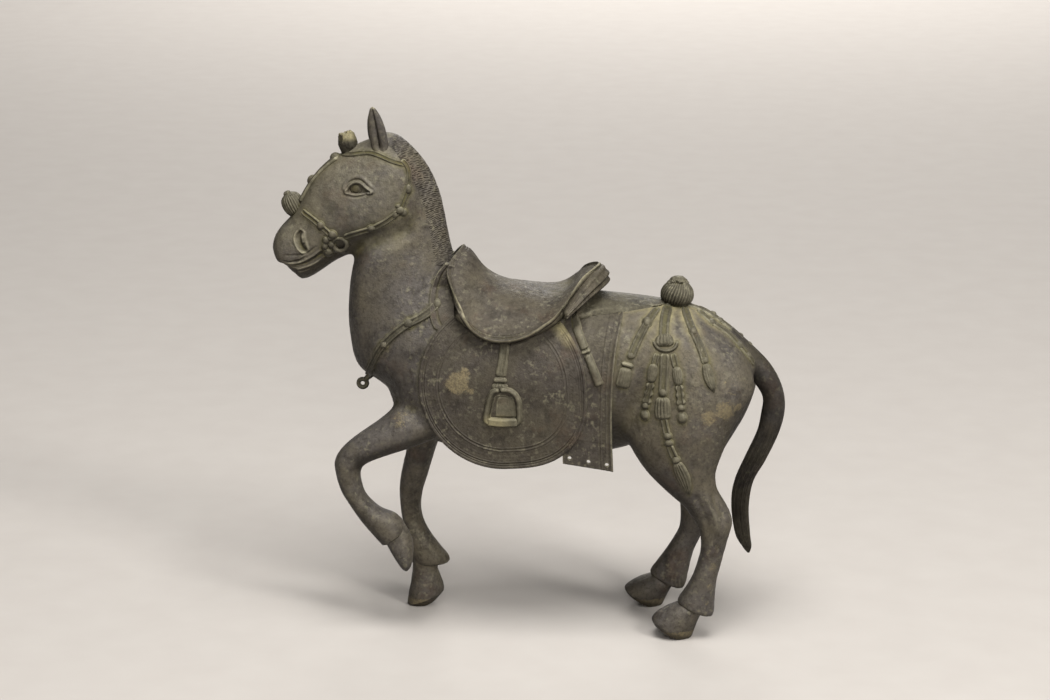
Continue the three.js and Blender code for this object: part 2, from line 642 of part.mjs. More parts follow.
function middleLine() {
  const faceStrap = [[-93.6, 238.2], [-102, 230], [-107, 223.4], [-110.6, 216.4]];
  const spine = [82, 92, 102, 112];
  const ball = [[6.4, -3], [8.3, 2], [8.3, 6.6], [5.8, 11.2], [2.6, 13.2], [1, 15.2]];
  const noseBall = [[3, -3], [4.7, 1.6], [4.4, 5.4], [1.8, 8], [1, 9.6]];
  const stub = [[4.2, -5], [4.5, 4], [3.9, 7.4]];
  const chestRing = new THREE.Vector3(-82.1, 0, 121.5);
  const shank = [[-80.6, 123.4, 0.8], [-75, 129.4, 1.5]];
  return [
    band(faceStrap.map(([x, z]) => fromFace(x, z)), { width: 3.4, height: 0.9 }),
    band(spine.map((x) => fromAbove(x, 0)), { width: 4.4, height: 1.2 }),
    dome(fromFace(-94.6, 237.6), 2.1, 2),
    dome(fromAbove(110.4, 0), 2, 2),
    jewel(new THREE.Vector3(75.4, 0, 165.6), new THREE.Vector3(0.05, 0, 1), ball, 10),
    jewel(new THREE.Vector3(-113.6, 0, 210.2), new THREE.Vector3(-0.6, 0, 0.8), noseBall, 8),
    jewel(new THREE.Vector3(-86.6, 0, 242.4), new THREE.Vector3(-0.28, 0, 0.96), stub, 7),
    torus(chestRing, new THREE.Vector3(0, 1, 0), 2.1, 1.2, 8, 4),
    solid(loft(shank.map(([x, z, r]) => ring([x - r, z + r, x + r, z - r, 0, r, 0], 6)))),
  ];
}

// The groove of the mouth, cut into both sides of the muzzle.
function mouth(side) {
  const path = [[-120.6, 186.4], [-111, 185.8], [-101.6, 191]];
  return band(path.map(([x, z]) => fromSide(side, x, z)), { width: 1.5, height: 1 }, { bury: 1.3 });
}

// The horse with everything that is cast on it

function dressedHorse() {
  const added = [spinePad(), ...middleLine()];
  const cut = [];
  for (const side of [NEAR, FAR]) {
    const rear = rearFlap(side);
    added.push(rear.sheet, roundFlap(side), frontCloth(side), ...billet(side), ...stirrup(side));
    added.push(...bridle(side), ...face(side), ...breastStrap(side), ...croupStraps(side));
    cut.push(...rear.holes, mouth(side));
  }
  const ground = new THREE.BoxGeometry(300, 100, GROUND).translate(0, 0, -GROUND / 2);
  cut.push(solid(ground));
  return cut.reduce((left, hole) => left.subtract(hole), join([bare, ...added]));
}

// The saddle

// One arch of the saddle in each row: top X and Z on the middle line, then a point half-way down the near side,
// then a point on the near edge, both as X, Y and Z.
const SADDLE = [
  [-30.9, 194, -37.6, -15, 184, -28.1, -31, 167.9],
  [-26.6, 191.6, -31.6, -17.5, 180.6, -25.8, -33.2, 162.9],
  [-19.6, 182.6, -24.4, -19, 175.4, -21.4, -34.8, 157.6],
  [-9.6, 176.6, -13.6, -20.2, 171.8, -14, -36, 154.4],
  [3, 174.4, -2, -20.5, 170.6, -4.4, -36, 154.2],
  [15, 173.2, 9.4, -20, 170.6, 4.6, -35.6, 157.2],
  [22, 174.6, 17, -19, 172, 11.4, -34, 161.6],
  [28.6, 180, 22.8, -17.6, 175.6, 16.8, -31.8, 165.4],
  [37.4, 186.2, 29.6, -15, 181.6, 22.3, -26, 170.8],
];

function saddleGrid(columns) {
  return SADDLE.map(([topX, topZ, x1, y1, z1, x2, y2, z2]) => {
    const near = [new THREE.Vector3(x2, y2, z2), new THREE.Vector3(x1, y1, z1)];
    const far = near.map((p) => p.clone().multiply(new THREE.Vector3(1, -1, 1))).reverse();
    const arch = [...near, new THREE.Vector3(topX, 0, topZ), ...far];
    return new THREE.CatmullRomCurve3(arch, false, "centripetal").getPoints(columns);
  });
}

// The same grid moved inwards, square to its surface.
function sunk(grid, depth) {
  const held = (i, list) => list[Math.min(list.length - 1, Math.max(0, i))];
  const pick = (r, c) => held(c, held(r, grid));
  return grid.map((row, r) =>
    row.map((point, c) => {
      const along = pick(r + 1, c).clone().sub(pick(r - 1, c));
      const across = pick(r, c + 1).clone().sub(pick(r, c - 1));
      return point.clone().addScaledVector(along.cross(across).normalize(), -depth);
    }),
  );
}

// The horse's trunk and neck made thicker all round, to hollow the saddle so that it fits over them.
function fuller(rows, extra) {
  return rows.map(([frontX, frontZ, backX, backZ, y, halfWidth, shape]) => {
    const length = Math.hypot(frontX - backX, frontZ - backZ);
    const x = ((frontX - backX) / length) * extra;
    const z = ((frontZ - backZ) / length) * extra;
    return [frontX + x, frontZ + z, backX - x, backZ - z, y, halfWidth + extra, shape];
  });
}

function saddle() {
  const top = saddleGrid(8);
  const seat = plate(top, sunk(top, SADDLE_SHEET));
  const inside = sunk(top, SADDLE_SHEET * 0.5).slice(1, -1).map((row) => row.slice(1, -1));
  const tree = plate(inside, sunk(inside, 15));
  const rearBoard = [[27.6, -19, 167.6], [33, -11, 172.6], [36.4, 0, 176], [33, 11, 172.6], [27.6, 19, 167.6]];
  const section = [[-5, 1], [-1, 4], [2.6, 3.4], [3.6, 0], [2.6, -4], [-5, -5]];
  const boardRing = ([x, y, z]) => section.map(([dx, dz]) => new THREE.Vector3(x + dx, y, z + dz));
  const board = loft(rearBoard.map(boardRing));
  const whole = join([solid(seat), solid(tree), solid(board)]);
  return whole.subtract(limb(fuller(TORSO, SADDLE_LIFT), 18, 1)).subtract(limb(fuller(NECK, SADDLE_LIFT), 14));
}

function piece(name, manifold, look) {
  const mesh = new THREE.Mesh(toGeometry(manifold), new THREE.MeshStandardMaterial(look));
  mesh.name = name;
  return mesh;
}

const figure = new THREE.Group();
figure.name = "saddled_horse";
figure.add(piece("horse", dressedHorse(), { color: 0x4d463c, roughness: 0.55, metalness: 0.6 }));
figure.add(piece("saddle", saddle(), { color: 0x575043, roughness: 0.5, metalness: 0.6 }));

// The origin is the middle of the figure's footprint, where it stands.
const box = new THREE.Box3().setFromObject(figure);
const middle = box.getCenter(new THREE.Vector3());
figure.position.set(-middle.x, -middle.y, -box.min.z);

export default figure;
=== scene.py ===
import math

import bmesh
import bpy
import numpy as np
from mathutils import Matrix, Vector, noise
from mathutils.bvhtree import BVHTree
from mathutils.kdtree import KDTree


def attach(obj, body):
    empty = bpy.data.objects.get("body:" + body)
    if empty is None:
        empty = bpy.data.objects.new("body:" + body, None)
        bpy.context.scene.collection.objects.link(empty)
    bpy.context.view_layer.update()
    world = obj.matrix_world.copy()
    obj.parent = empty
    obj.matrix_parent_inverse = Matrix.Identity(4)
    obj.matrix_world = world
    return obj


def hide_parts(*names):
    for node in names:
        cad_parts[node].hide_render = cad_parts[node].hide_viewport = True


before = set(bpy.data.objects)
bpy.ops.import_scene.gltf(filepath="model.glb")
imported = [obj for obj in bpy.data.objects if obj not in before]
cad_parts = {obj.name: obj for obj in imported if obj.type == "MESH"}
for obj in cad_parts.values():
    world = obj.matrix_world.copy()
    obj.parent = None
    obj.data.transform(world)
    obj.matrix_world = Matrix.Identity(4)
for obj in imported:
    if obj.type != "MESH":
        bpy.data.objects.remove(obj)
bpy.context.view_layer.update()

# The horse's body
# One hollow bronze casting: trunk, neck, head and legs, modelled here in wax before the harness
# goes on it. Sizes are millimetres, measured from the foot of the figure, with the head towards -X.

MM = 0.001  # a millimetre in metres
DRAWING_ZERO = (-1.95, 0.013, 0)  # the middle of the footprint, from the zero that the sizes are measured from
NEAR, FAR = -1, 1  # the horse's left side and its right side, as signs of Y
WAX_GRAIN = 1.48  # size of the faces that the joined wax is cut into
FEET = 62  # below this height the wax keeps its crisp edges

# Each row is one cross-section: front X and Z, back X and Z, the middle's Y, half the width,
# and how much fuller the back is than the front.
TRUNK = [
    (-70, 150, -66, 112, 0, 14, 0),
    (-62, 161, -56, 100, 0, 25, 0.05),
    (-48, 168, -45, 93.5, 0, 30, 0.08),
    (-28, 171.5, -28, 90.5, 0, 32.5, 0.08),
    (-5, 171, -5, 89.5, 0, 33.5, 0.05),
    (20, 169.8, 20, 89.8, 0, 33, 0.02),
    (45, 169, 44, 91, 0, 32, 0),
    (68, 167.4, 64, 98, 0, 31, -0.04),
    (86, 164, 80, 106, 0, 28.5, -0.05),
    (100, 155.5, 93, 112, 0, 24, -0.05),
    (111, 146, 106, 118, 0, 17, 0),
    (116, 138, 113, 126, 0, 8, 0),
]
NECK = [
    (-46, 98, 4, 165, 0, 28, 0),
    (-59, 111, -10, 170, 0, 29.5, 0),
    (-71, 122.6, -20, 174.5, 0, 28, -0.05),
    (-84, 132, -29, 179.5, 0, 24.5, -0.12),
    (-88, 149, -35, 188, 0, 20.5, -0.18),
    (-88.3, 165, -38, 200, 0, 17.3, -0.22),
    (-86.6, 180, -40.2, 212, 0, 15.2, -0.24),
    (-83, 193, -43, 223, 0, 13.8, -0.24),
    (-79, 206, -48.5, 234.5, 0, 12.6, -0.2),
    (-77, 219, -57, 244.5, 0, 11, -0.1),
    (-77, 230, -65.5, 250, 0, 8.6, 0),
    (-79, 238, -73.5, 249, 0, 5, 0),
]
HEAD = [
    (-68, 245, -59, 236, 0, 7, 0),
    (-75, 247, -51.5, 223, 0, 11.8, 0.05),
    (-84, 243.6, -54, 209.5, 0, 14, 0.15),
    (-91.5, 239, -61, 200.5, 0, 15.2, 0.2),
    (-98, 234, -71, 194.5, 0, 15.4, 0.18),
    (-104, 228, -81, 190.5, 0, 14.2, 0.05),
    (-109, 220.5, -88.5, 187.8, 0, 12.6, -0.04),
    (-113, 213, -94.5, 184.8, 0, 11.8, -0.05),
    (-117, 207, -100, 181, 0, 11.8, 0),
    (-121.8, 202, -105.5, 177.3, 0, 12.3, 0.02),
    (-125.2, 196.5, -110.5, 175.2, 0, 11.8, 0),
    (-126.2, 191, -114.5, 176.2, 0, 10, 0),
    (-124.6, 186.3, -117.8, 179, 0, 6.6, 0),
]
LIFTED_FORELEG = [
    (-60, 118, -32, 104, -13, 15, 0),
    (-65.6, 112.8, -42, 99.5, -17, 14, 0),
    (-72.6, 107.4, -54, 95, -20, 12.4, 0),
    (-80, 102.4, -66, 91, -21.5, 10.6, 0),
    (-86, 97.8, -74.5, 87.8, -22.3, 9.4, 0),
    (-91, 92.6, -79.4, 84.8, -22.8, 8.8, 0),
    (-93.6, 86, -80.6, 81, -23, 8.5, 0),
    (-91, 73.6, -78.8, 72, -23, 7.6, 0),
    (-86.5, 65.3, -75, 66.8, -23, 7.2, 0),
    (-81.3, 57.2, -69.6, 62.8, -23, 7.1, 0),
    (-76, 50.5, -63, 60.6, -23, 7.4, 0),
    (-71.2, 45.4, -59.2, 56, -23, 7.7, 0),
    (-69.6, 43.6, -58.4, 52, -23, 7.2, 0),
]
STANDING_FORELEG = [
    (-68, 118, -28, 104, 14, 15, 0),
    (-65, 100, -40, 95.5, 17.5, 12.6, 0),
    (-62.4, 85, -45.5, 88, 17.5, 10.6, 0),
    (-64, 76, -49, 77.5, 17, 9.2, 0),
    (-65.6, 68, -51.8, 68, 16.5, 8.4, 0),
    (-66.3, 60.5, -53.9, 61.3, 16, 7.7, 0),
    (-65.8, 52.7, -55, 52.6, 15.4, 7, 0),
    (-64.9, 45.5, -53.7, 45, 15, 6.9, 0),
    (-63.4, 38, -50, 37.8, 14.6, 7.4, 0),
    (-61.4, 30, -44.8, 31, 14.2, 8, 0),
    (-60, 24.4, -40.8, 26, 14, 8, 0),
    (-59.7, 22, -40.2, 22.8, 14, 7.4, 0),
]
NEAR_HIND_LEG = [
    (68, 160, 98, 154, -7, 11, 0),
    (55, 144, 110.5, 142.5, -12.5, 16.6, 0),
    (48.5, 124, 115, 129, -16, 18.5, 0),
    (48.5, 110, 110.5, 119, -18, 17.8, 0),
    (53.8, 98.5, 105.2, 109, -20, 16, 0),
    (62, 86.3, 100, 96.5, -21.5, 13.2, 0),
    (72.5, 76, 96.6, 85.6, -22.5, 10.6, 0),
    (80.5, 69.2, 98.2, 77, -23, 8.8, 0),
    (85.6, 63, 103.4, 67.8, -23, 8, 0),
    (89, 55.5, 105.4, 60.6, -23, 7.6, 0),
    (89.8, 47, 103, 50.5, -23, 6.9, 0),
    (88, 39, 100.2, 38.6, -23, 6.6, 0),
    (85, 30.5, 98, 29, -23, 7, 0),
    (79, 20, 97, 14.3, -23, 7.8, 0),
    (80, 17.6, 95.6, 11.2, -23, 7.2, 0),
]
FAR_HIND_LEG = [
    (66, 160, 98, 154, 7, 11, 0),
    (53, 144, 111, 142.5, 12.5, 16.6, 0),
    (47, 124, 116, 128, 16, 18.5, 0),
    (47.5, 110, 114.5, 116, 18, 17.6, 0),
    (52, 98, 110, 103.5, 20, 15.6, 0),
    (59, 86.5, 104.4, 93, 21.5, 12.8, 0),
    (67.5, 76, 98.6, 82, 22.5, 10.4, 0),
    (74, 67, 95.2, 73, 23, 8.8, 0),
    (77.4, 58.5, 94.6, 64, 23, 8, 0),
    (78, 44.5, 91.4, 45.5, 23, 7.2, 0),
    (75.3, 37.5, 88.6, 37, 23, 6.8, 0),
    (70.8, 30, 85, 28.5, 23, 7, 0),
    (63.4, 19, 81.7, 13, 23, 7.8, 0),
    (64.2, 16.4, 79.8, 9, 23, 7.2, 0),
]


def flowing(rows, steps):
    """Rows of numbers with steps more for each gap, every column running through its values as a smooth curve."""
    table = np.array(rows, float)
    place = np.linspace(0, len(table) - 1, (len(table) - 1) * steps + 1)
    first = np.minimum(place.astype(int), len(table) - 2)
    t = (place - first)[:, None]
    a, b, c, d = (table[np.clip(first + k, 0, len(table) - 1)] for k in (-1, 0, 1, 2))
    return 0.5 * (2 * b + (c - a) * t + (2 * a - 5 * b + 4 * c - d) * t**2 + (3 * b - a - 3 * c + d) * t**3)


def bent_grid(bm, around, along, place):
    """A grid bent into a closed shape: place gives the points for shares of the way round and along it."""
    verts = bmesh.ops.create_grid(bm, x_segments=around, y_segments=along, size=1)["verts"]
    share = np.array([(v.co.x, v.co.y) for v in verts]) / 2 + 0.5
    for vert, point in zip(verts, place(share[:, 0], share[:, 1])):
        vert.co = point
    bmesh.ops.remove_doubles(bm, verts=verts, dist=1e-4)
    rims = [e for v in verts if v.is_valid for e in v.link_edges if e.is_boundary]
    bmesh.ops.holes_fill(bm, edges=list(set(rims)), sides=0)


def nearest(share, count):
    """Which of so many places in a row is nearest to each share of the way along it."""
    return np.rint(share * (count - 1)).astype(int)


def picked(rows, share):
    """The rows of a table that stand at the given shares of the way down it."""
    return rows[nearest(share, len(rows))]


def limb_points(rings, around, along, reach=1.0):
    """Points of ellipses through the front and back points of the rings. reach is a share of their size."""
    front_x, front_z, back_x, back_z, y, half, fuller = picked(rings, along).T
    cos, sin = reach * np.cos(2 * np.pi * around), reach * np.sin(2 * np.pi * around)
    x = (front_x + back_x) / 2 + (front_x - back_x) / 2 * cos
    z = (front_z + back_z) / 2 + (front_z - back_z) / 2 * cos
    return np.stack([x, y + half * sin * (1 - fuller * cos), z], 1)


def limb(bm, rows, sides, steps=4):
    """A limb of wax through its rows, closed at both ends."""
    rings = flowing(rows, steps)
    bent_grid(bm, sides, len(rings) - 1, lambda around, along: limb_points(rings, around, along))


wax = bmesh.new()
limb(wax, TRUNK, 64)
limb(wax, NECK, 56)
limb(wax, HEAD, 56)
LEGS = (LIFTED_FORELEG, STANDING_FORELEG, NEAR_HIND_LEG, FAR_HIND_LEG)
for leg in LEGS:
    limb(wax, leg, 40)
bmesh.ops.recalc_face_normals(wax, faces=wax.faces)


def link(name, mesh):
    thing = bpy.data.objects.new(name, mesh)
    bpy.context.scene.collection.objects.link(thing)
    return thing


def remeshed(bm, grain):
    """The bmesh as one skin of square faces of about that size."""
    lump = link("wax", bpy.data.meshes.new("wax"))
    bm.to_mesh(lump.data)
    bm.free()
    remesh = lump.modifiers.new("one skin", "REMESH")
    remesh.mode = "VOXEL"
    remesh.voxel_size = grain
    skin = bpy.data.meshes.new_from_object(lump.evaluated_get(bpy.context.evaluated_depsgraph_get()))
    bpy.data.objects.remove(lump)
    return skin


class Wax:
    """A mesh under the modelling tools: its points, and the edges along which they are evened out."""

    def __init__(self, mesh):
        self.mesh = mesh
        self.read()

    def read(self):
        self.co = np.zeros(len(self.mesh.vertices) * 3)
        self.mesh.vertices.foreach_get("co", self.co)
        self.co = self.co.reshape(-1, 3)
        self.edges = np.zeros(len(self.mesh.edges) * 2, int)
        self.mesh.edges.foreach_get("vertices", self.edges)
        self.edges = self.edges.reshape(-1, 2)
        self.valence = np.maximum(1, np.bincount(self.edges.ravel(), minlength=len(self.co)))

    def write(self):
        self.mesh.vertices.foreach_set("co", self.co.ravel())
        self.mesh.update()

    def normals(self):
        self.write()
        out = np.zeros(len(self.co) * 3)
        self.mesh.vertex_normals.foreach_get("vector", out)
        return out.reshape(-1, 3)

    def around(self, values):
        """The mean of every point's neighbours, for one number or three at each point."""
        a, b = self.edges.T
        columns = values.reshape(len(self.co), -1)
        sums = [
            np.bincount(a, column[b], len(self.co)) + np.bincount(b, column[a], len(self.co))
            for column in columns.T
        ]
        return (np.stack(sums, 1) / self.valence[:, None]).reshape(values.shape)

    def even_out(self, rounds, weight=1.0):
        weight = np.broadcast_to(weight, len(self.co))[:, None]
        for _ in range(rounds):
            self.co += 0.5 * weight * (self.around(self.co) - self.co)

    def push(self, amount):
        """Moves every point outwards by its amount."""
        self.co += self.normals() * amount[:, None]

    def cut_finer(self, where):
        """Halves the faces where every corner is chosen."""
        self.write()
        bm = bmesh.new()
        bm.from_mesh(self.mesh)
        bm.verts.ensure_lookup_table()
        edges = [e for e in bm.edges if where[e.verts[0].index] and where[e.verts[1].index]]
        bmesh.ops.subdivide_edges(bm, edges=edges, cuts=1, use_grid_fill=True)
        bmesh.ops.triangulate(bm, faces=[f for f in bm.faces if len(f.verts) > 4])
        bm.to_mesh(self.mesh)
        bm.free()
        self.read()


def near_path(x, z, path):
    """How far each place is from a path in the side view, and the share of the path at which it is nearest."""
    path = np.array(path, float)
    spans = np.diff(path, axis=0)
    lengths = np.maximum(1e-9, np.hypot(*spans.T))
    before = np.concatenate([[0], np.cumsum(lengths)])
    best = np.full(len(x), 1e9)
    share = np.zeros(len(x))
    for start, span, length, done in zip(path, spans, lengths, before):
        t = np.clip(((x - start[0]) * span[0] + (z - start[1]) * span[1]) / length**2, 0, 1)
        gap = np.hypot(x - start[0] - t * span[0], z - start[1] - t * span[1])
        closer = gap < best
        best[closer] = gap[closer]
        share[closer] = ((done + t * length) / before[-1])[closer]
    return best, share


def bell(gap, width):
    """1 on a line and 0 beyond its width, falling off smoothly."""
    return np.clip(1 - (gap / width) ** 2, 0, None) ** 2


def ramp(values, start, end):
    """0 up to the start, 1 from the end on, and a straight slope between them. It may also run downwards."""
    return np.clip((values - start) / (end - start), 0, 1)


# Where the limbs meet they are blended into each other. The feet keep their crisp edges.
horse = Wax(remeshed(wax, WAX_GRAIN))
horse.even_out(3)
hollow = np.sum((horse.around(horse.co) - horse.co) * horse.normals(), axis=1)
blend = ramp(hollow, 0, 0.05) * (horse.co[:, 2] > FEET)
for _ in range(7):
    blend = np.maximum(blend, horse.around(blend))
x, _, z = horse.co.T
crisp = ((z > 180) & (x < -45)) | ((z > 102) & (z < 130) & (x < -54))
horse.even_out(36, blend * np.where(crisp, 0.1, 1))


def swell(path, width, height, side=0, fade=0.3):
    """Presses the horse out, or in, along a path in the side view, on one side or on both."""
    x, y, z = horse.co.T
    gap, share = near_path(x, z, path)
    ends = np.clip(np.minimum(share, 1 - share) / fade, 0, 1)
    horse.push(height * bell(gap, width) * ends * ((np.sign(y) == side) | (side == 0)))


JAW_CREASE = [(-55.7, 218.4), (-54.4, 214.4), (-54.2, 209.2), (-57.5, 203.3), (-64.7, 199.5), (-73.6, 196)]
JAW_CREASE += [(-81.3, 192.5), (-85.6, 191.3)]

# The muscles and bones that show under the skin. Each has a path in the side view, a width and a height, and
# those of the hocks also a side and the share of the path over which they fade in.
for path, width, height in (
    ([(-70, 121), (-58, 140), (-48, 156)], 9, 1.1),
    ([(-84, 150), (-80, 178), (-72, 200)], 7, 0.7),
    ([(-64, 118), (-54, 108)], 9, 0.8),
    ([(56, 156), (50, 140), (50, 126)], 8, 0.9),
    ([(104, 140), (106, 124), (101, 110)], 9, 0.8),
    ([(62, 136), (58, 120), (64, 104)], 9, -0.7),
    ([(-104, 222), (-98, 214), (-90, 207)], 5, -0.5),
    ([(-100, 226), (-95, 231), (-90, 235)], 5, 0.5),
    (JAW_CREASE, 6, -2.2),
    (JAW_CREASE, 2.4, -0.9),
    ([(-57.4, 212), (-61.5, 206.5), (-68, 202.6), (-75, 199.2), (-83, 196)], 4.2, -1.1),
):
    swell(path, width, height)
x, y, z = horse.co.T
horse.cut_finer((x > 76) & (y < 0) & (z > 34) & (z < 92))
for stroke in (
    ([(91.1, 82.7), (92.1, 77.4), (94.2, 71.6), (97, 66.4), (98.1, 61.2), (98.4, 53)], 2.8, 0.7, NEAR, 0.25),
    ([(94.4, 82), (97, 72), (100.2, 65.2), (101.6, 60)], 3, -1, NEAR, 0.25),
    ([(87, 78), (89.6, 71), (93, 62), (94.4, 54)], 2.4, -0.6, NEAR, 0.15),
    ([(98.4, 58), (97, 48), (95, 38)], 1.8, -0.45, NEAR, 0.15),
    ([(78, 68), (84, 64), (88, 57)], 3, 0.5, NEAR, 0.2),
    ([(84, 72), (89, 66), (90.5, 58)], 2.6, 0.8, FAR, 0.2),
):
    swell(*stroke)

# The face: eyes under heavy lids, nostrils like commas, and the lips. The same on both sides.
UPPER_LID = [(-86.5, 222.2), (-85.9, 223.7), (-84.7, 225.1), (-83.2, 226), (-81.5, 226.3), (-80, 226.1)]
UPPER_LID += [(-78.7, 225.3), (-77, 224), (-75, 222.8)]
LOWER_LID = [(-86.5, 222.2), (-84.8, 221.8), (-82.3, 221.6), (-79.4, 221.9), (-77.2, 222.3), (-75, 222.8)]
LID_FOLD = [(-86.9, 224.3), (-86, 226.1), (-84.5, 227.5), (-82.8, 228.3), (-81.3, 228.5), (-79.7, 228.2)]
LID_FOLD += [(-78.4, 227.4), (-76.9, 226), (-74.4, 223.9)]
UNDER_LID = [(-86.9, 220.9), (-84.5, 220.3), (-81.9, 220.1), (-79.4, 220.6), (-76.8, 221.6)]
NOSTRIL_RIM = [(-108.6, 201.4), (-110.7, 202.1), (-113, 200.1), (-113.6, 197), (-112.1, 193.4), (-110.1, 191.3)]
NOSTRIL_RIM += [(-108.3, 191.1), (-106.7, 192.4), (-107.3, 195.3), (-108.2, 198.5), (-108.6, 201.4)]
NOSTRIL = [(-110.9, 200.9), (-111.7, 198.5), (-111.2, 196.1), (-109.7, 193.4), (-108.4, 192.1)]
NOSTRIL_FLAP = [(-109.6, 200.3), (-109.3, 198), (-109, 196.2)]
MUZZLE_LINES = [
    ([(-119.6, 189.1), (-115.2, 189.6), (-109.5, 189.7), (-106.1, 191.1), (-102, 194.7)], 0.9, -0.35),
    ([(-119.8, 186.3), (-115.6, 185.9), (-110.7, 187.1), (-107.6, 189.2)], 0.8, -0.65),
    ([(-118.3, 185.5), (-114.8, 185.5), (-112.1, 185.7), (-108.4, 187), (-104.2, 189.4), (-100.2, 192.6)], 0.8, 0.55),
    ([(-115.5, 182.4), (-111, 182.6), (-107.1, 183.7), (-104.3, 185), (-100.6, 187.1)], 0.8, 0.45),
    ([(-114.8, 181.2), (-110.1, 181.1), (-105.8, 182.6)], 0.7, -0.3),
]
MOUTH = [(-128, 184.9), (-122, 184.6), (-117.8, 184.2), (-114, 184.1), (-110.3, 184.4), (-106.9, 185.3)]
MOUTH += [(-104.1, 186.8), (-100.4, 189.5), (-97.5, 191.6)]


LID_DEPTH = 1.4  # how far the eye's opening is pressed in


def eyes_and_muzzle(reach):
    """The points that need fine faces for the eyes and the muzzle, and those within reach of them."""
    x, y, z = horse.co.T
    eyes = (np.hypot(x + 81.2, (z - 225.2) * 1.3) < 10.5 + reach) & (np.abs(y) > 6)
    return eyes | ((x < -95 + 2 * reach) & (z < 204 + reach) & (z > 178) & (np.abs(y) > 1.5))


def gap_to(path):
    """How far every point of the horse is from a smooth path in the side view, and its share of the path."""
    return near_path(horse.co[:, 0], horse.co[:, 2], flowing(path, 6))


for reach in (1.0, 0.0):
    horse.cut_finer(eyes_and_muzzle(reach))
    horse.even_out(2, 0.8 * eyes_and_muzzle(reach))

x, y, z = horse.co.T
upper = np.interp(x, *np.array(UPPER_LID).T, left=0, right=0)
lower = np.interp(x, *np.array(LOWER_LID).T, left=999, right=999)
at_eye = (np.abs(y) > 6) & (z > 214) & (z < 238) & (x > -96) & (x < -66)
to_upper, _ = gap_to(UPPER_LID)
to_lower, _ = gap_to(LOWER_LID)
to_fold, along_fold = gap_to(LID_FOLD)
to_under, _ = gap_to(UNDER_LID)
open_eye = (z < upper) & (z > lower)
depth = -LID_DEPTH * open_eye * ramp(np.minimum(to_upper, to_lower), 0, 0.6)
lids = np.where(open_eye, 0, 0.65 * bell(to_upper - 0.8, 1.1) + 0.3 * bell(to_lower - 0.6, 0.9))
folds = -0.45 * bell(to_fold, 0.7) * ramp(along_fold, 0, 0.25) * ramp(along_fold, 1, 0.75)
socket = 0.45 * bell(to_fold - 1.3, 1.4) * (z > upper) - 0.35 * bell(to_under, 0.9)
horse.push(at_eye * (depth + lids + folds + socket * ~open_eye))

x, y, z = horse.co.T
at_muzzle = (x < -92) & (z < 206)
on_side = ramp(np.abs(y), 1.5, 4)
to_rim, _ = gap_to(NOSTRIL_RIM)
to_hole, _ = gap_to(NOSTRIL)
to_flap, _ = gap_to(NOSTRIL_FLAP)
to_mouth, along_mouth = gap_to(MOUTH)
nostril = 0.6 * bell(to_rim, 0.9) - 1.5 * bell(to_hole, 2.1) + 1.1 * bell(to_flap, 0.9)
mouth = -1.3 * bell(to_mouth, 0.8 + 1.1 * along_mouth**2) * ramp(along_mouth, 1, 8 / 9)
horse.push(at_muzzle * (on_side * nostril + mouth))
for path, width, height in MUZZLE_LINES:
    swell(path, width, height, fade=0.15)
# The lower lip is set back under the upper one.
x, y, z = horse.co.T
horse.co[:, 0] += 3 * ramp(z, 185, 183.6) * ramp(x, -110, -117)
horse.even_out(1, 0.4 * (at_muzzle | at_eye))

# The fetlocks end in a crisp fringe over the hooves, with a few short strokes cut in behind.
low = (horse.co[:, 2] < 31) | ((horse.co[:, 2] < 60) & (horse.co[:, 1] < 0) & (horse.co[:, 0] < 0))
horse.cut_finer(low)


def tree_of(places):
    """The places in a tree, in which the nearest one is found quickly."""
    tree = KDTree(len(places))
    for number, place in enumerate(places):
        tree.insert(place, number)
    tree.balance()
    return tree


def distance_to(points, tree):
    """How far each point is from the nearest of a tree's places."""
    return np.array([tree.find(point)[2] for point in points])


turns, rows = (shares.ravel() for shares in np.meshgrid(np.linspace(0, 1, 72), np.linspace(0, 1, 3)))
fringe = tree_of(np.concatenate([limb_points(flowing(leg[-2:], 2), turns, rows) for leg in LEGS]))
horse.cut_finer(distance_to(horse.co, fringe) < 2.6)
true_legs = bmesh.new()
for leg in LEGS:
    limb(true_legs, leg, 96, 8)
true_skin = BVHTree.FromBMesh(true_legs)
true_legs.free()
to_fringe = distance_to(horse.co, fringe)
for index in np.flatnonzero(to_fringe < 4):
    pull = min(1.0, (4 - to_fringe[index]) / 2)
    horse.co[index] += pull * (np.array(true_skin.find_nearest(horse.co[index])[0]) - horse.co[index])
for side, top_x, top_z in ((NEAR, 90.2, 21.4), (FAR, 73.6, 18.4)):
    for number in range(4):
        x, z = top_x + 1.9 * number, top_z - 0.5 * number
        swell([(x, z), (x - 0.3, z - 6)], 0.75, -0.4, side)
horse.co[:, 2] = np.maximum(horse.co[:, 2], 0)

# The bronze
# All of it is one brown bronze, darkened with age: mottled, satin, rubbed pale on the ridges and with olive
# dirt left in the corners. Five numbers at every point of a piece say how far it is worn; how dirty, with painted
# shade in the deepest hollows; how brassy, with a painted sheen on the hind leg; how far covered with residue, with a
# painted highlight on the forelock; and how much painted shade it has where it faces down or to the left.

# The last mark, under, is painted shade: darker where a piece faces down or to the left, over the tail and the eyes,
# in the ear slits and below the forelock.
MARKS = ("worn", "dirt", "brass", "residue", "under")


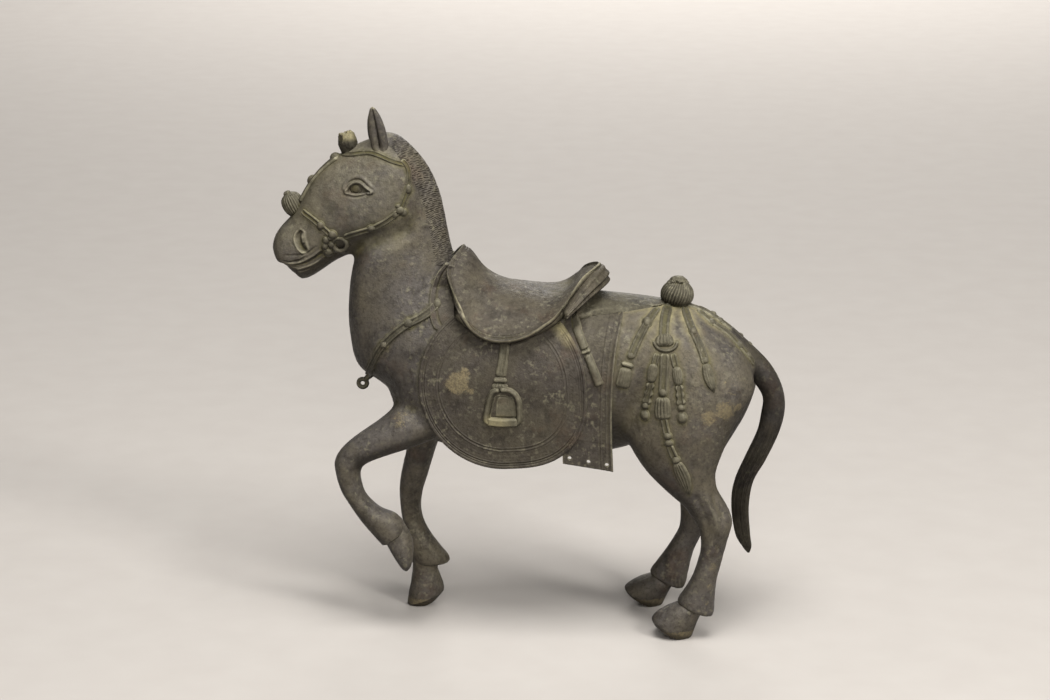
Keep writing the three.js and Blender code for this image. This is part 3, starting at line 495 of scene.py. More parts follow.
class Wire:
    """A socket of a shader node. Arithmetic on it adds Math nodes, and node() adds any other node."""

    def __init__(self, tree, socket=None):
        self.tree = tree
        self.socket = socket

    def node(self, kind, inputs=(), out=0, **settings):
        """Adds a node: its settings first, then the values or links of its sockets."""
        made = self.tree.nodes.new("ShaderNode" + kind)
        for name, value in settings.items():
            setattr(made, name, value)
        for name, value in dict(inputs).items():
            if isinstance(value, Wire):
                self.tree.links.new(value.socket, made.inputs[name])
            else:
                made.inputs[name].default_value = value
        return Wire(self.tree, made.outputs[out] if made.outputs else None)

    def maths(self, operation, *values, clamp=False):
        return self.node("Math", enumerate(values), operation=operation, use_clamp=clamp)

    def __add__(self, other):
        return self.maths("ADD", self, other)

    def __sub__(self, other):
        return self.maths("SUBTRACT", self, other)

    def __mul__(self, other):
        return self.maths("MULTIPLY", self, other)

    def __rsub__(self, other):
        return self.maths("SUBTRACT", other, self)

    __radd__ = __add__
    __rmul__ = __mul__

    def clamped(self):
        return self.maths("ADD", self, 0.0, clamp=True)

    def stretched(self, low, high):
        """0 below low and 1 above high."""
        return self.maths("MULTIPLY_ADD", self, 1 / (high - low), -low / (high - low), clamp=True)

    def between(self, first, second):
        """One colour where this is 0, another where it is 1, and a mixture where it is neither."""
        return self.node("Mix", {0: self, 6: first, 7: second}, out=2, data_type="RGBA")


def colour(hexadecimal):
    """A colour as it shows on screen, in the linear values that shaders take."""
    parts = [int(hexadecimal[k : k + 2], 16) / 255 for k in (0, 2, 4)]
    return [p / 12.92 if p <= 0.04045 else ((p + 0.055) / 1.055) ** 2.4 for p in parts] + [1]


def blank_look(name):
    """A new material without nodes, and a wire to start them from."""
    look = bpy.data.materials.new(name)
    look.use_nodes = True
    look.node_tree.nodes.clear()
    return look, Wire(look.node_tree)


def bronze(name, brown, cool, grain=1.0):
    """The finish of one casting: its two main browns, and how fine the grain of its skin is."""
    look, start = blank_look(name)
    here = start.node("TexCoord", out="Object")
    worn, dirt, brass, residue, under = (start.node("Attribute", out=2, attribute_name=mark) for mark in MARKS)

    def cloud(scale, detail=4.0, roughness=0.55, stretch=(0.35, 0.65)):
        inputs = {"Vector": here, "Scale": scale, "Detail": detail, "Roughness": roughness}
        return start.node("TexNoise", inputs).stretched(*stretch)

    broad, patches, mottle, specks = cloud(24), cloud(70), cloud(260), cloud(1100, 2.0)
    olive = (dirt * (0.15 + 1.1 * cloud(120, 5.0, 0.6, (0.35, 0.62)))).clamped()
    rubbed = (worn * (0.4 + 0.8 * cloud(330, 3.0))).clamped()
    bare_brass_and_sheen = (brass * 1.05 + cloud(300, 8.0, 0.9, (0.2, 0.8))).stretched(1.0, 1.14)
    crust_and_highlight = (residue * (0.35 + cloud(180, 6.0, 0.75))).clamped()
    base = (broad * 0.65 + patches * 0.35).stretched(0.25, 0.75).between(colour(brown), colour(cool))
    for tint, share in (
        ("211d18", (cloud(95, 6.0, 0.7, (0.5, 0.66)) * 0.5 + mottle * 0.16).clamped()),  # dark blotches
        ("37322a", cloud(560, 4.0, 0.7, (0.48, 0.66)) * 0.5),  # small dark spots
        ("8d8872", cloud(420, 3.0, stretch=(0.54, 0.7)) * patches * 0.75),  # pale flecks
        ("6b5340", cloud(46, 5.0, 0.65, (0.56, 0.74)) * 0.35),  # warm patches
        ("6f6a3e", olive * 0.8),  # dirt in the corners
        # Painted shade: black in the deepest hollows and where the straps meet the body.
        ("16130f", dirt.stretched(0.7, 1.15) * 0.7),  # black in the deepest of them
        ("b3ad93", rubbed * 0.6),  # bright ridges
        # Bare brass where the brown is gone, and a painted sheen down the near hind shin.
        ("978a6a", bare_brass_and_sheen * (0.3 + 0.55 * specks)),  # bare brass where the brown is gone
        # Pale residue, and a painted highlight on the top of the forelock.
        ("aba17a", crust_and_highlight * 0.75),  # pale residue
        # Painted shade where a piece faces down or to the left, over the tail and the eyes, and in the ear slits.
        ("15120f", under * 0.75),  # dark undersides
    ):
        base = share.between(base, colour(tint))
    roughness = (0.46 + 0.16 * mottle + 0.3 * olive - 0.08 * rubbed + 0.06 * specks).clamped()
    metal = (0.26 - 0.2 * olive - 0.2 * crust_and_highlight + 0.1 * rubbed).clamped()
    relief = 0.6 * cloud(420 * grain, 5.0, 0.7) + 0.3 * specks + 0.5 * cloud(130, 3.0)
    bump = start.node("Bump", {"Height": relief, "Strength": 0.4, "Distance": 0.0006})
    shader = start.node(
        "BsdfPrincipled",
        {"Base Color": base, "Roughness": roughness, "Metallic": metal, "Normal": bump, "Specular IOR Level": 0.25},
    )
    start.node("OutputMaterial", {"Surface": shader})
    return look


BODY_BRONZE = bronze("body_bronze", "6c6556", "65605b")
HARNESS_BRONZE = bronze("harness_bronze", "5f5a4a", "595549", 1.4)
FLAP_BRONZE = bronze("flap_bronze", "5b5548", "57514a", 1.2)
pieces = []


def placed(mesh, name, look):
    """The finished wax as a piece, in metres, in the frame's place."""
    mesh.transform(Matrix.Scale(MM, 4) @ Matrix.Translation(DRAWING_ZERO))
    mesh.polygons.foreach_set("use_smooth", [True] * len(mesh.polygons))
    mesh.materials.append(look)
    piece = link(name, mesh)
    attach(piece, "root")
    pieces.append(piece)
    return piece


def finished(bm, name, look):
    bmesh.ops.recalc_face_normals(bm, faces=bm.faces)
    mesh = bpy.data.meshes.new(name)
    bm.to_mesh(mesh)
    bm.free()
    return placed(mesh, name, look)


def bent_piece(name, look, around, along, place):
    """A piece that is one bent grid."""
    bm = bmesh.new()
    bent_grid(bm, around, along, place)
    return finished(bm, name, look)


horse.write()
body = BVHTree.FromPolygons([Vector(p) for p in horse.co], [list(f.vertices) for f in horse.mesh.polygons])
horse_piece = placed(horse.mesh, "horse_body", BODY_BRONZE)
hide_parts("horse")

# The eyes
# Cast with the head, a ball under the lids of each eye, with the iris as a low step on it. It is turned a little
# towards the front.

EYE = [(0.02, 1), (1, 0.95), (1.6, 0.8), (1.9, 0.6), (2.1, 0.4), (2.5, 0.4), (3.2, -0.3), (3.3, -1.6), (2, -3)]
EYE += [(0.02, -3.2)]
SIDES = ((NEAR, "near"), (FAR, "far"))


def side_spot(side, x, z):
    """Where the body is met from one side, and the direction it faces there."""
    return body.ray_cast(Vector((x, side * 90, z)), Vector((0, -side, 0)))[:2]


def turned(bm, foot, axis, outline, sides, ribs=1, depth=0.0, twist=0.0, steps=8):
    """A shape turned about an axis, with ribs round it: outline gives radius and height pairs."""
    rings = flowing(outline, steps)
    turn_to = np.array(Vector(axis).to_track_quat("Z", "Y").to_matrix())

    def place(around, along):
        radius, height = picked(rings, along).T
        way = 2 * np.pi * around + twist * along
        rib = np.abs(np.sin(ribs * np.pi * around))
        r = radius * (1 - depth * (1 - rib**0.7))
        return np.stack([r * np.cos(way), r * np.sin(way), height], 1) @ turn_to.T + np.array(foot)

    bent_grid(bm, sides, len(rings) - 1, place)


for side, hand in SIDES:
    eye = bmesh.new()
    spot, _ = side_spot(side, -82, 223.9)
    turned(eye, spot + Vector((0, side * 0.35, 0)), (-0.12, side, 0.1), EYE, 36, steps=5)
    finished(eye, "eye_" + hand, BODY_BRONZE)

# The hooves
# Cast with the legs: on the real horse horn, here bronze. Each is a wall with faint growth lines and a flat
# sole under its fringe, brassy at the foot where it has been rubbed.

LIFTED_HOOF = [
    (-69, 47, -58.5, 55, -23, 5.4, -0.1),
    (-67.2, 43.2, -56.2, 50.8, -23, 6.2, -0.1),
    (-65, 39.2, -54.6, 46.5, -23, 6.9, -0.1),
    (-62.4, 35, -54.3, 41, -23, 7, -0.1),
    (-60, 31.8, -54.8, 35.8, -23, 5.8, -0.1),
    (-58.2, 30.5, -55.8, 32.4, -23, 3.4, -0.1),
]
STANDING_HOOF = [
    (-59.6, 26, -47.5, 27, 14, 6.2, -0.1),
    (-59.5, 20, -46.6, 21, 14, 6.9, -0.1),
    (-59.7, 17.2, -46.4, 18.6, 14, 7.2, -0.1),
    (-60.6, 11, -44.6, 13.6, 14, 8.3, -0.1),
    (-61.8, 5, -43.6, 10.4, 14, 9, -0.1),
    (-62.3, 0.9, -43.4, 7.6, 14, 9.1, -0.1),
    (-61.7, -0.4, -44, 6.4, 14, 8.6, -0.1),
    (-57, -2, -47.5, 2.2, 14, 5.6, -0.1),
]
NEAR_HIND_HOOF = [
    (84, 22, 94, 17.5, -23, 5.2, -0.1),
    (80, 18.6, 91.2, 13.2, -23, 6.4, -0.1),
    (78, 17.6, 90.4, 11.8, -23, 7.2, -0.1),
    (73.5, 15.6, 89, 8.6, -23, 8.3, -0.1),
    (69, 12.8, 87.6, 4.8, -23, 9, -0.1),
    (66, 9.4, 86, 0.4, -23, 9, -0.1),
    (66.8, 6.8, 83.5, -2, -23, 7.8, -0.1),
]
FAR_HIND_HOOF = [
    (68, 20.5, 78, 16, 23, 5.2, -0.1),
    (64.2, 17, 75.2, 11.4, 23, 6.4, -0.1),
    (62.4, 16, 74.4, 10.2, 23, 7.2, -0.1),
    (58, 14.4, 73, 7.6, 23, 8.3, -0.1),
    (53.6, 12, 71.4, 4.4, 23, 9, -0.1),
    (50, 9, 69.6, 0.4, 23, 9, -0.1),
    (50.8, 6.6, 67, -2, 23, 7.8, -0.1),
]

for name, rows in (
    ("hoof_lifted", LIFTED_HOOF),
    ("hoof_standing", STANDING_HOOF),
    ("hoof_near_hind", NEAR_HIND_HOOF),
    ("hoof_far_hind", FAR_HIND_HOOF),
):
    rings = flowing(rows, 10)

    def place_horn(around, along):
        growth_lines = 1 + 0.006 * np.sin(40 * along) * (1 - along)
        points = limb_points(rings, around, along, growth_lines)
        points[:, 2] = np.maximum(points[:, 2], 0)
        return points

    bent_piece(name, BODY_BRONZE, 80, len(rings) - 1, place_horn)

# The tail
# Cast with the body: long and bent, with grooves for the hair cut down it from a smooth root. It is closed at
# its tip and hangs clear of the hind legs.

TAIL = [
    (103, 155, 97, 145, 0, 5, 0),
    (113.5, 145.6, 108, 134.6, 0, 6.2, 0),
    (122.6, 136, 115.4, 125.6, 0, 6.4, 0),
    (128.4, 125, 118.9, 119, 0, 6.3, 0),
    (130.1, 114, 118.3, 111, 0, 6.4, 0),
    (127.8, 102, 116, 100.6, 0, 6.6, 0),
    (121.6, 87, 110.2, 87, 0, 6.4, 0),
    (115.3, 75, 105.5, 75, 0, 5.9, 0),
    (113.3, 62, 104.1, 63, 0, 5.3, 0),
    (114.2, 48, 106.4, 47.6, 0, 4.3, 0),
    (115.1, 41, 110.2, 40.6, 0, 3, 0),
    (114.2, 37.4, 112.8, 37.4, 0, 1.2, 0),
]
tail_rings = flowing(TAIL, 12)


def place_tail(around, along):
    turn = 2 * np.pi * around
    locks = 0.6 * np.cos(13 * turn + 1.6 * np.sin(4 * along + 1))
    locks += 0.4 * np.cos(29 * turn - 2.4 * np.sin(3.1 * along))
    hairs = 0.5 + 0.5 * np.cos(53 * turn + 3 * np.sin(5 * along))
    grooves = ramp(along, 0.36, 0.56) * (0.06 * (1 - locks) + 0.08 * hairs)
    return limb_points(tail_rings, around, along, 1 - grooves)


bent_piece("tail", BODY_BRONZE, 256, len(tail_rings) - 1, place_tail)

# The ears
# Cast with the head: pointed leaves rolled almost shut, so that each shows one dark slit to the side. The far
# one is lower than the near one.

ear_widths = flowing([(4.8,), (4.3,), (4.3,), (4.4,), (4,), (3,), (1.2,)], 9)[:, 0]

for side, height, middle, name in ((NEAR, 18.2, -69.8, "ear_near"), (FAR, 13.4, -72.6, "ear_far")):

    def place_ear(around, along):
        turn = 2 * np.pi * around
        facing = 1 - np.cos(turn + 0.05 + 0.3 * along)
        slit = np.exp(-facing / 0.15) * np.clip(np.sin(np.pi * np.clip(along * 1.22 - 0.24, 0, 1)) * 2.4, 0, 1)
        lip = np.exp(-((np.sqrt(facing) - 0.4) ** 2) / 0.012) * ramp(along, 0, 0.25)
        tip = np.sqrt(np.clip(24 * (1 - along), 0.01, 1))
        reach = picked(ear_widths, along) * (1 - 0.85 * slit + 0.07 * lip) * tip
        x = middle - 4.1 * along**1.2 + reach * np.sin(turn)
        y = side * (6.2 + 3.2 * along + 0.56 * reach * np.cos(turn))
        return np.stack([x, y, 236 + (height + 10) * along], 1)

    bent_piece(name, BODY_BRONZE, 160, len(ear_widths) - 1, place_ear)

# The mane
# Cropped hair along the crest, cast as a thin raised strip that is scratched with short slanting strokes.

MANE_EDGE = [(-70.5, 248), (-66, 246.8), (-61, 243.6), (-56.6, 237.4), (-53.4, 230.3), (-51.4, 222.9), (-49.4, 215.5)]
MANE_EDGE += [(-47.6, 208), (-46, 200.6), (-45, 193.3), (-44, 188), (-42.6, 182.6)]
CREST = [(-67, 250.2), (-62.6, 248.2), (-56.4, 243.2), (-51.3, 237.5), (-46.9, 230.5), (-43.5, 222.6), (-41.1, 214)]
CREST += [(-39.2, 205.4), (-37.9, 197.4), (-36.9, 190.6), (-36, 186), (-34.6, 180.4)]
MANE_COLUMNS = (64, 6)  # columns of points over the strip, and in its foot


def both_faces(around, front, back):
    """For a sheet with so many columns on each face: which points are on its back, and their shares across."""
    turn = np.rint(around * (front + back)).astype(int) % (front + back)
    behind = turn >= front
    return behind, np.where(behind, (front + back - 1 - turn) / (back - 1), turn / (front - 1))


def place_mane(around, along):
    edges, crests = (picked(flowing(path, 24), along) for path in (MANE_EDGE, CREST))
    points = []
    for edge, crest, run, buried, share in zip(edges, crests, along, *both_faces(around, *MANE_COLUMNS)):
        up = Vector((crest[0] - edge[0], 0, crest[1] - edge[1])).normalized()
        foot = Vector((crest[0], 0, crest[1])) - up * 11
        sweep = (share - 0.5) * 2
        out = up * math.cos(1.5 * sweep) + Vector((0, 1, 0)) * math.sin(1.5 * sweep)
        hit = body.ray_cast(foot + out * 60, -out)[0] or foot + out * 9
        rough = noise.noise(hit * 0.5)
        stroke = math.sin(run * 510 + 26 * abs(sweep) ** 1.3 + 2.5 * rough)
        wisps = math.sin(run * 190 + 14 * abs(sweep) + 3 * noise.noise(hit * 0.23))
        edge_fade = min(1, 7 * (1 - abs(sweep)), 14 * run, 14 * (1 - run))
        grown = min(1.0, 0.25 + 1.5 * run)
        height = 0.08 + grown * (0.02 * stroke + 0.012 * wisps) + 0.02 * rough
        point = hit + out * (height * edge_fade - 0.5 * (1 - edge_fade))
        points.append(point + Vector((-2.2, 0, -1.6)) if buried else point)
    return points


bent_piece("mane", BODY_BRONZE, sum(MANE_COLUMNS), 420, place_mane)

# The bridle
# Narrow leather straps with two ridges, cast as raised bands, with studs where they cross and a ring at the bit.

STRAP_BURIED = 1.5  # how deep the foot of a raised band is in the body
STRAP_STEP = 0.55  # between the cross-sections of a band


def top_spot(x, y):
    """Where the body is met from above, and the direction it faces there."""
    return body.ray_cast(Vector((x, y, 320)), Vector((0, 0, -1)))[:2]


def face_spot(x, z):
    """Where the front of the face is met on its middle line."""
    line = Vector((0.82, 0, -0.57))
    return body.ray_cast(Vector((x, 0.05, z)) - line * 60, line)[:2]


def respaced(line, shares):
    """A line of points again, at the given shares of its length."""
    travelled = np.concatenate([[0], np.cumsum(np.linalg.norm(np.diff(line, axis=0), axis=1))])
    return np.stack([np.interp(shares * travelled[-1], travelled, column) for column in line.T], 1)


def resampled(path, spacing):
    """A path as evenly spaced points on a smooth curve."""
    line = flowing(path, 16)
    length = np.sum(np.linalg.norm(np.diff(line, axis=0), axis=1))
    return respaced(line, np.linspace(0, 1, max(4, int(round(length / spacing)) + 1)))


def eased(values, rounds):
    """Rows of numbers with each one evened out against its neighbours, and the ends held."""
    values = values.copy()
    for _ in range(rounds):
        values[1:-1] = (values[:-2] + 2 * values[1:-1] + values[2:]) / 4
    return values


def unit(vectors):
    return vectors / np.maximum(1e-9, np.linalg.norm(vectors, axis=-1, keepdims=True))


def laid(spots, path):
    """A path laid on the body: its points, and the direction that the body faces at each of them."""
    found = [spots(*stop) for stop in resampled(path, STRAP_STEP)]
    points, faces = (np.array(column) for column in zip(*[spot for spot in found if spot[0]]))
    return eased(points, 8), unit(eased(faces, 24))


# The tops of the bands: how high they stand at each share of the way from the middle to the edge.
def two_ridges(s):
    return np.interp(np.abs(s), [0, 0.16, 0.36, 0.58, 0.8, 1], [0.55, 0.5, 0.62, 1, 0.86, 0.2])


def cord_top(s):
    return np.sqrt(np.clip(1 - 0.96 * s**2, 0, 1))


def block_top(s):
    return np.interp(np.abs(s), [0, 0.7, 0.92, 1], [1, 1, 0.86, 0.3])


def ribbed_top(s):
    return cord_top(s) * (0.86 + 0.14 * np.cos(5 * np.pi * s))


def band(bm, line, widths, height, top=two_ridges, columns=16, beads=0):
    """A raised band along a line. Its widths are spread along it, and beads swells it that many times."""
    points, faces = line
    count = len(points)
    across = unit(np.cross(unit(np.gradient(points, axis=0)), faces))
    stops = np.linspace(0, 1, count)
    widths = np.atleast_1d(np.array(widths, float))
    width = np.interp(stops, np.linspace(0, 1, len(widths)), widths)
    width = eased(width[:, None], 6)[:, 0] if len(widths) > 1 else width
    swelling = 1 + 0.16 * np.cos(2 * np.pi * beads * stops + np.pi) if beads else 1 + 0 * stops
    tips = np.minimum(np.arange(count), count - 1 - np.arange(count))
    blunt = np.array([0.05, 0.62, 0.88, 1.0])[np.minimum(tips, 3)]
    s = np.concatenate([[-1.0], np.linspace(-1, 1, columns), [1.0]])
    rise = np.concatenate([[0.0], top(s[1:-1]), [0.0]])

    def place(around, along):
        k, row = np.rint(around * (columns + 2)).astype(int) % (columns + 2), nearest(along, count)
        scale = swelling[row] * blunt[row]
        tall = height * np.minimum(1, width[row] / max(2.4, 0.55 * widths.max()))
        out = np.where((k == 0) | (k == columns + 1), -STRAP_BURIED, rise[k] * tall * scale)
        reach = s[k] * width[row] / 2 * swelling[row] * (0.45 + 0.55 * blunt[row])
        return points[row] + across[row] * reach[:, None] + faces[row] * out[:, None]

    bent_grid(bm, columns + 2, count - 1, place)


def stud(bm, spot, radius, height=0.85, long=1.0):
    """A round boss on the body, on a low collar."""
    point, facing = spot
    place = Matrix.Translation(point) @ facing.to_track_quat("Z", "Y").to_matrix().to_4x4()
    for wide, tall in ((1.0, height), (1.22, 0.3)):
        size = Matrix.Diagonal((radius * wide, radius * wide * long, radius * tall, 1))
        bmesh.ops.create_uvsphere(bm, u_segments=24, v_segments=14, radius=1, matrix=place @ size)


def hoop(bm, centre, facing, radius, bar):
    """A round bar bent into a ring."""
    turn = np.array(Vector(facing).to_track_quat("Z", "Y").to_matrix())

    def place(around, along):
        roll, way = 2 * np.pi * around, 2 * np.pi * along
        reach = radius + bar * np.cos(roll)
        local = np.stack([reach * np.cos(way), reach * np.sin(way), bar * np.sin(roll)], 1)
        return local @ turn.T + np.array(centre)

    bent_grid(bm, 20, 56, place)


def one_side(side):
    return lambda x, z: side_spot(side, x, z)


JAW_STRAP = [(-88.6, 199.4), (-84.3, 201.1), (-80.2, 202.5), (-74.2, 204.5), (-67.9, 207.7), (-63.2, 211)]
JAW_STRAP += [(-60.4, 213.6)]
CHEEK_STRAP = [(-60.2, 214.4), (-58.8, 218), (-57.2, 222.6), (-56.4, 227), (-56.3, 231.4), (-57.4, 235), (-60, 238)]
BROWBAND = [(-95.4, 239), (-91.7, 239.1), (-85.9, 239.5), (-80.7, 240.6), (-75.5, 241.2), (-71.3, 240.4)]
BROWBAND += [(-67.2, 238.8), (-63, 237), (-58.6, 235.6)]
NOSEBAND = [(-109.8, 211.6), (-107.6, 210), (-105.2, 208.8), (-102.3, 206.8), (-99.9, 204.9), (-97, 202.2)]
NOSEBAND += [(-94.6, 200.2)]

for side, hand in SIDES:
    at = one_side(side)
    bridle = bmesh.new()
    band(bridle, laid(at, JAW_STRAP), 3.1, 0.95)
    band(bridle, laid(at, CHEEK_STRAP), 2.7, 0.8)
    band(bridle, laid(at, BROWBAND), 2.6, 0.75)
    band(bridle, laid(at, NOSEBAND), 3.1, 0.95)
    for x, z, *sizes in (
        (-100, 205, 2, 0.8, 1.1),
        (-74.6, 204.5, 2.1, 0.8, 0.9),
        (-60.4, 213.4, 2.2, 0.8, 1),
        (-62.9, 211.2, 1.4, 0.8, 1.3),
        (-58.6, 212.4, 1.6, 0.8, 1.2),
        (-61.4, 215.6, 1.3, 0.8, 1),
        (-56.5, 223.7, 1.7, 0.8, 1.5),
        (-96.8, 190.9, 2.3, 0.8, 1.1),
        (-94.2, 200.4, 2.3, 0.8, 1.1),
        # The bit's rosette: lobes of leather round the ring.
        (-97.6, 197.4, 1.7, 0.9, 1.3),
        (-98.4, 194, 1.5, 0.9, 1.4),
        (-95.2, 195, 1.8, 0.9, 1.2),
        (-95.6, 198.6, 1.5, 0.9, 1),
        (-93.6, 192.2, 1.5, 0.9, 1.2),
    ):
        stud(bridle, at(x, z), *sizes)
    centre, facing = at(-90.9, 195.2)
    hoop(bridle, centre + Vector((0, side * 0.5, 0)), (-0.1, side, -0.25), 3.5, 1.15)
    finished(bridle, "bridle_" + hand, HARNESS_BRONZE)

# The strap down the face, with its two studs, and the tassel ball that stands on the nose.
face = bmesh.new()
FACE_STRAP = [(-93.2, 238.8), (-97.6, 234.6), (-102, 230), (-106, 224.4), (-109, 218.6), (-111.2, 213.8)]
band(face, laid(face_spot, FACE_STRAP), 9, 0.9, columns=24)
stud(face, face_spot(-94.8, 237.4), 2.3, 1.1, 1.2)
stud(face, face_spot(-105.6, 225.2), 2.2, 1.1, 1.3)
NOSE_BALL = [(3.4, -3.6), (4.9, -1.6), (5.5, 0.6), (5.6, 2.6), (5.3, 4.6), (4.4, 6.4), (3, 7.5), (2, 8), (1.8, 8.7)]
NOSE_BALL += [(1.1, 9.3), (0.1, 9.5)]
turned(face, (-114.5, 0, 211.3), (-0.5, 0, 0.86), NOSE_BALL, 120, 24, 0.1, 0.3)
finished(face, "face_strap", HARNESS_BRONZE)

# The tied forelock: a lumpy stub between the ears, broken off and pitted at the top.
forelock = bmesh.new()
STUB = [(4.4, -5), (4.3, -1), (4.9, 3), (4.6, 6), (3.9, 7.8), (2.2, 8.3), (0.2, 7.6)]
turned(forelock, (-87, 0, 241.4), (-0.24, 0, 0.97), STUB, 96, 3, 0.12, 0.5)
for vert in forelock.verts:
    vert.co += vert.co.normalized() * 1.1 * noise.fractal(vert.co * 0.45, 1.0, 2.0, 4)
    pit = (vert.co - Vector((-93.5, -3.5, 247))).length
    vert.co.x += max(0.0, 4.2 - pit) * 0.7
finished(forelock, "forelock", HARNESS_BRONZE)

# The breast strap
# A leather strap from the edge of the front cloth round the breast, with metal studs. Both sides are cast as
# raised bands, and meet in front at a small ring that is cast on.

BREAST_STRAP = [(-41.7, 168.4), (-44.9, 165), (-49.7, 161.8), (-55.1, 159), (-59.6, 156), (-64.6, 151.6)]
BREAST_STRAP += [(-68.3, 147.3), (-71, 143.3), (-74.4, 136.4), (-77.4, 129.8), (-78.6, 126.6)]

for side, hand in SIDES:
    at = one_side(side)
    breast = bmesh.new()
    band(breast, laid(at, BREAST_STRAP), [5, 4.4, 4.2, 4, 3.6], 1.5)
    stud(breast, at(-55.4, 159), 2.5)
    stud(breast, at(-67.8, 147.8), 2.2)
    stud(breast, at(-41.6, 168.4), 2.2, 0.9, 1.3)
    stud(breast, at(-43.8, 166.2), 1.4, 0.8, 1.2)
    finished(breast, "breast_strap_" + hand, HARNESS_BRONZE)

ring = bmesh.new()
hoop(ring, (-82.1, 0, 121.5), (0, 1, 0), 2.1, 1.15)
SHANK = [(0.6, -0.8), (1.3, 0.2), (1.5, 2), (2, 5), (2.4, 9)]
turned(ring, (-80.9, 0, 123.1), (0.68, 0, 0.73), SHANK, 32, 6, 0.05)
finished(ring, "breast_ring", HARNESS_BRONZE)

# The croup straps
# Straps with studs run from under the ball on the rump down each side and back to the tail. On the real horse
# they are leather, with a metal bell and knotted tassels on them. Here all of it is cast as raised bands.

FRONT_STRAP = [(66.8, 166.2), (63.9, 163.6), (61.4, 160.4), (57.7, 153.8), (55.2, 148.4), (54.2, 145.6)]
REAR_STRAP = [(79.4, 165.6), (82, 161.2), (84.4, 157), (87.4, 151.6), (90.2, 145.4), (90.8, 143)]
CRUPPER = [(83.4, 165.4), (88, 162.6), (93.1, 159.1), (101.1, 153.4), (106.7, 148), (111.4, 142.6), (114.2, 138)]

for side, hand in SIDES:
    at = one_side(side)
    croup = bmesh.new()

    def strap(path, widths=4.2, height=1.1, top=two_ridges, **more):
        """A band on the rump, unless it is said otherwise as wide and as high as most of the straps."""
        band(croup, laid(at, path), widths, height, top, **more)

    def knobs(*places):
        """Studs on the rump, each given by X, Z, its radius and how long it is for its width."""
        for x, z, radius, long in places:
            stud(croup, at(x, z), radius, 0.85, long)

    # The front strap, with a block and a short tassel at its end.
    strap(FRONT_STRAP)
    strap([(53.3, 143.8), (52.5, 141.2)], 6.8, 1.6, block_top)
    strap([(52.3, 141.4), (51.3, 136), (50.4, 131)], [5.8, 6.8, 7.2, 6.8], 1.9, ribbed_top)
    knobs((61.7, 161.2, 2.3, 1.2), (54.3, 146.8, 1.7, 1))

    # The middle strap, down to the bell and the bent bar under it.
    strap([(71.8, 167.4), (70.4, 163), (70.1, 155)], 5.2, 1.0)
    strap([(70.1, 156.6), (70.4, 154.6), (70.7, 151)], [5.6, 8.6, 9.6, 9.4], 2.4, ribbed_top, columns=24)
    strap([(65.2, 153.6), (66.4, 151), (69.2, 149.3), (72.8, 149.1), (75.8, 150.5), (77, 153.4)], 1.9, 1.7, cord_top)
    knobs((71.7, 166.6, 2, 1))

    # Three tassels hang from the bell. The one in front has a beaded cord and two knobs.
    strap([(67.2, 148), (66.4, 145), (65.6, 142)], 3.4)
    strap([(65.8, 143.4), (65, 138.8), (64.4, 133.6)], [3, 5.6, 5.2, 3], 2, ribbed_top)
    strap([(64.5, 134.4), (63.2, 128), (62.2, 122.4)], [3.8, 4.4], 1.4, beads=3)
    knobs((61.9, 122, 2, 0.9), (61.7, 117.4, 2.3, 1.15))

    # The one in the middle is longer and wider.
    strap([(70.9, 148), (70.7, 138), (70.4, 127.4)], 4.8)
    strap([(70.4, 127.2), (70.4, 122), (70.7, 116.2)], [6.8, 7.8, 8.4, 7.4], 2.5, ribbed_top, columns=22)
    knobs((70.4, 129.2, 2.1, 1))

    # The one behind is like the one in front.
    strap([(74.6, 148), (75.6, 144.4), (76.6, 141)], 3.4)
    strap([(76.4, 142), (77.4, 138), (78.2, 133)], [3, 5.4, 5.2, 3], 2, ribbed_top)
    strap([(78.1, 133.8), (78.9, 128), (79.4, 123.4)], [3.8, 4.4], 1.4, beads=3)
    knobs((79.5, 122.6, 2, 0.9), (80, 117.6, 2.3, 1.15))

    # Under the middle one, a strap in two lengths carries the last tassel down the thigh.
    strap([(71, 117.4), (71.9, 112.4), (73, 108.6)], 3.7)
    strap([(73.8, 104), (75.2, 100.2), (76.9, 96.6)], [3.6, 4.2])
    knobs((73.1, 108.2, 2.1, 0.9), (73.6, 104.8, 2.2, 0.9), (77.3, 95.9, 2.2, 1))
    tassel = [(77.6, 95.2), (79.6, 90.2), (81.8, 84.6), (84, 77.4)]
    strap(tassel, [4.2, 6.4, 6.8, 5, 1.2], 2.5, ribbed_top, columns=20)

    # The rear strap, with its tassel.
    strap(REAR_STRAP)
    strap([(90.9, 143.4), (92.7, 136.8), (95.4, 129.8)], [3.6, 5.4, 5.4, 4, 0.8], 2.1, ribbed_top)
    knobs((84.2, 157.2, 2, 1.1), (90.6, 144.6, 1.8, 1))

    # The strap to the tail.
    strap(CRUPPER, 4.1, 1.0)
    knobs((93.2, 159, 2.1, 1), (106.8, 147.8, 2.1, 1), (111.3, 142.7, 1.8, 1))
    finished(croup, "croup_straps_" + hand, HARNESS_BRONZE)

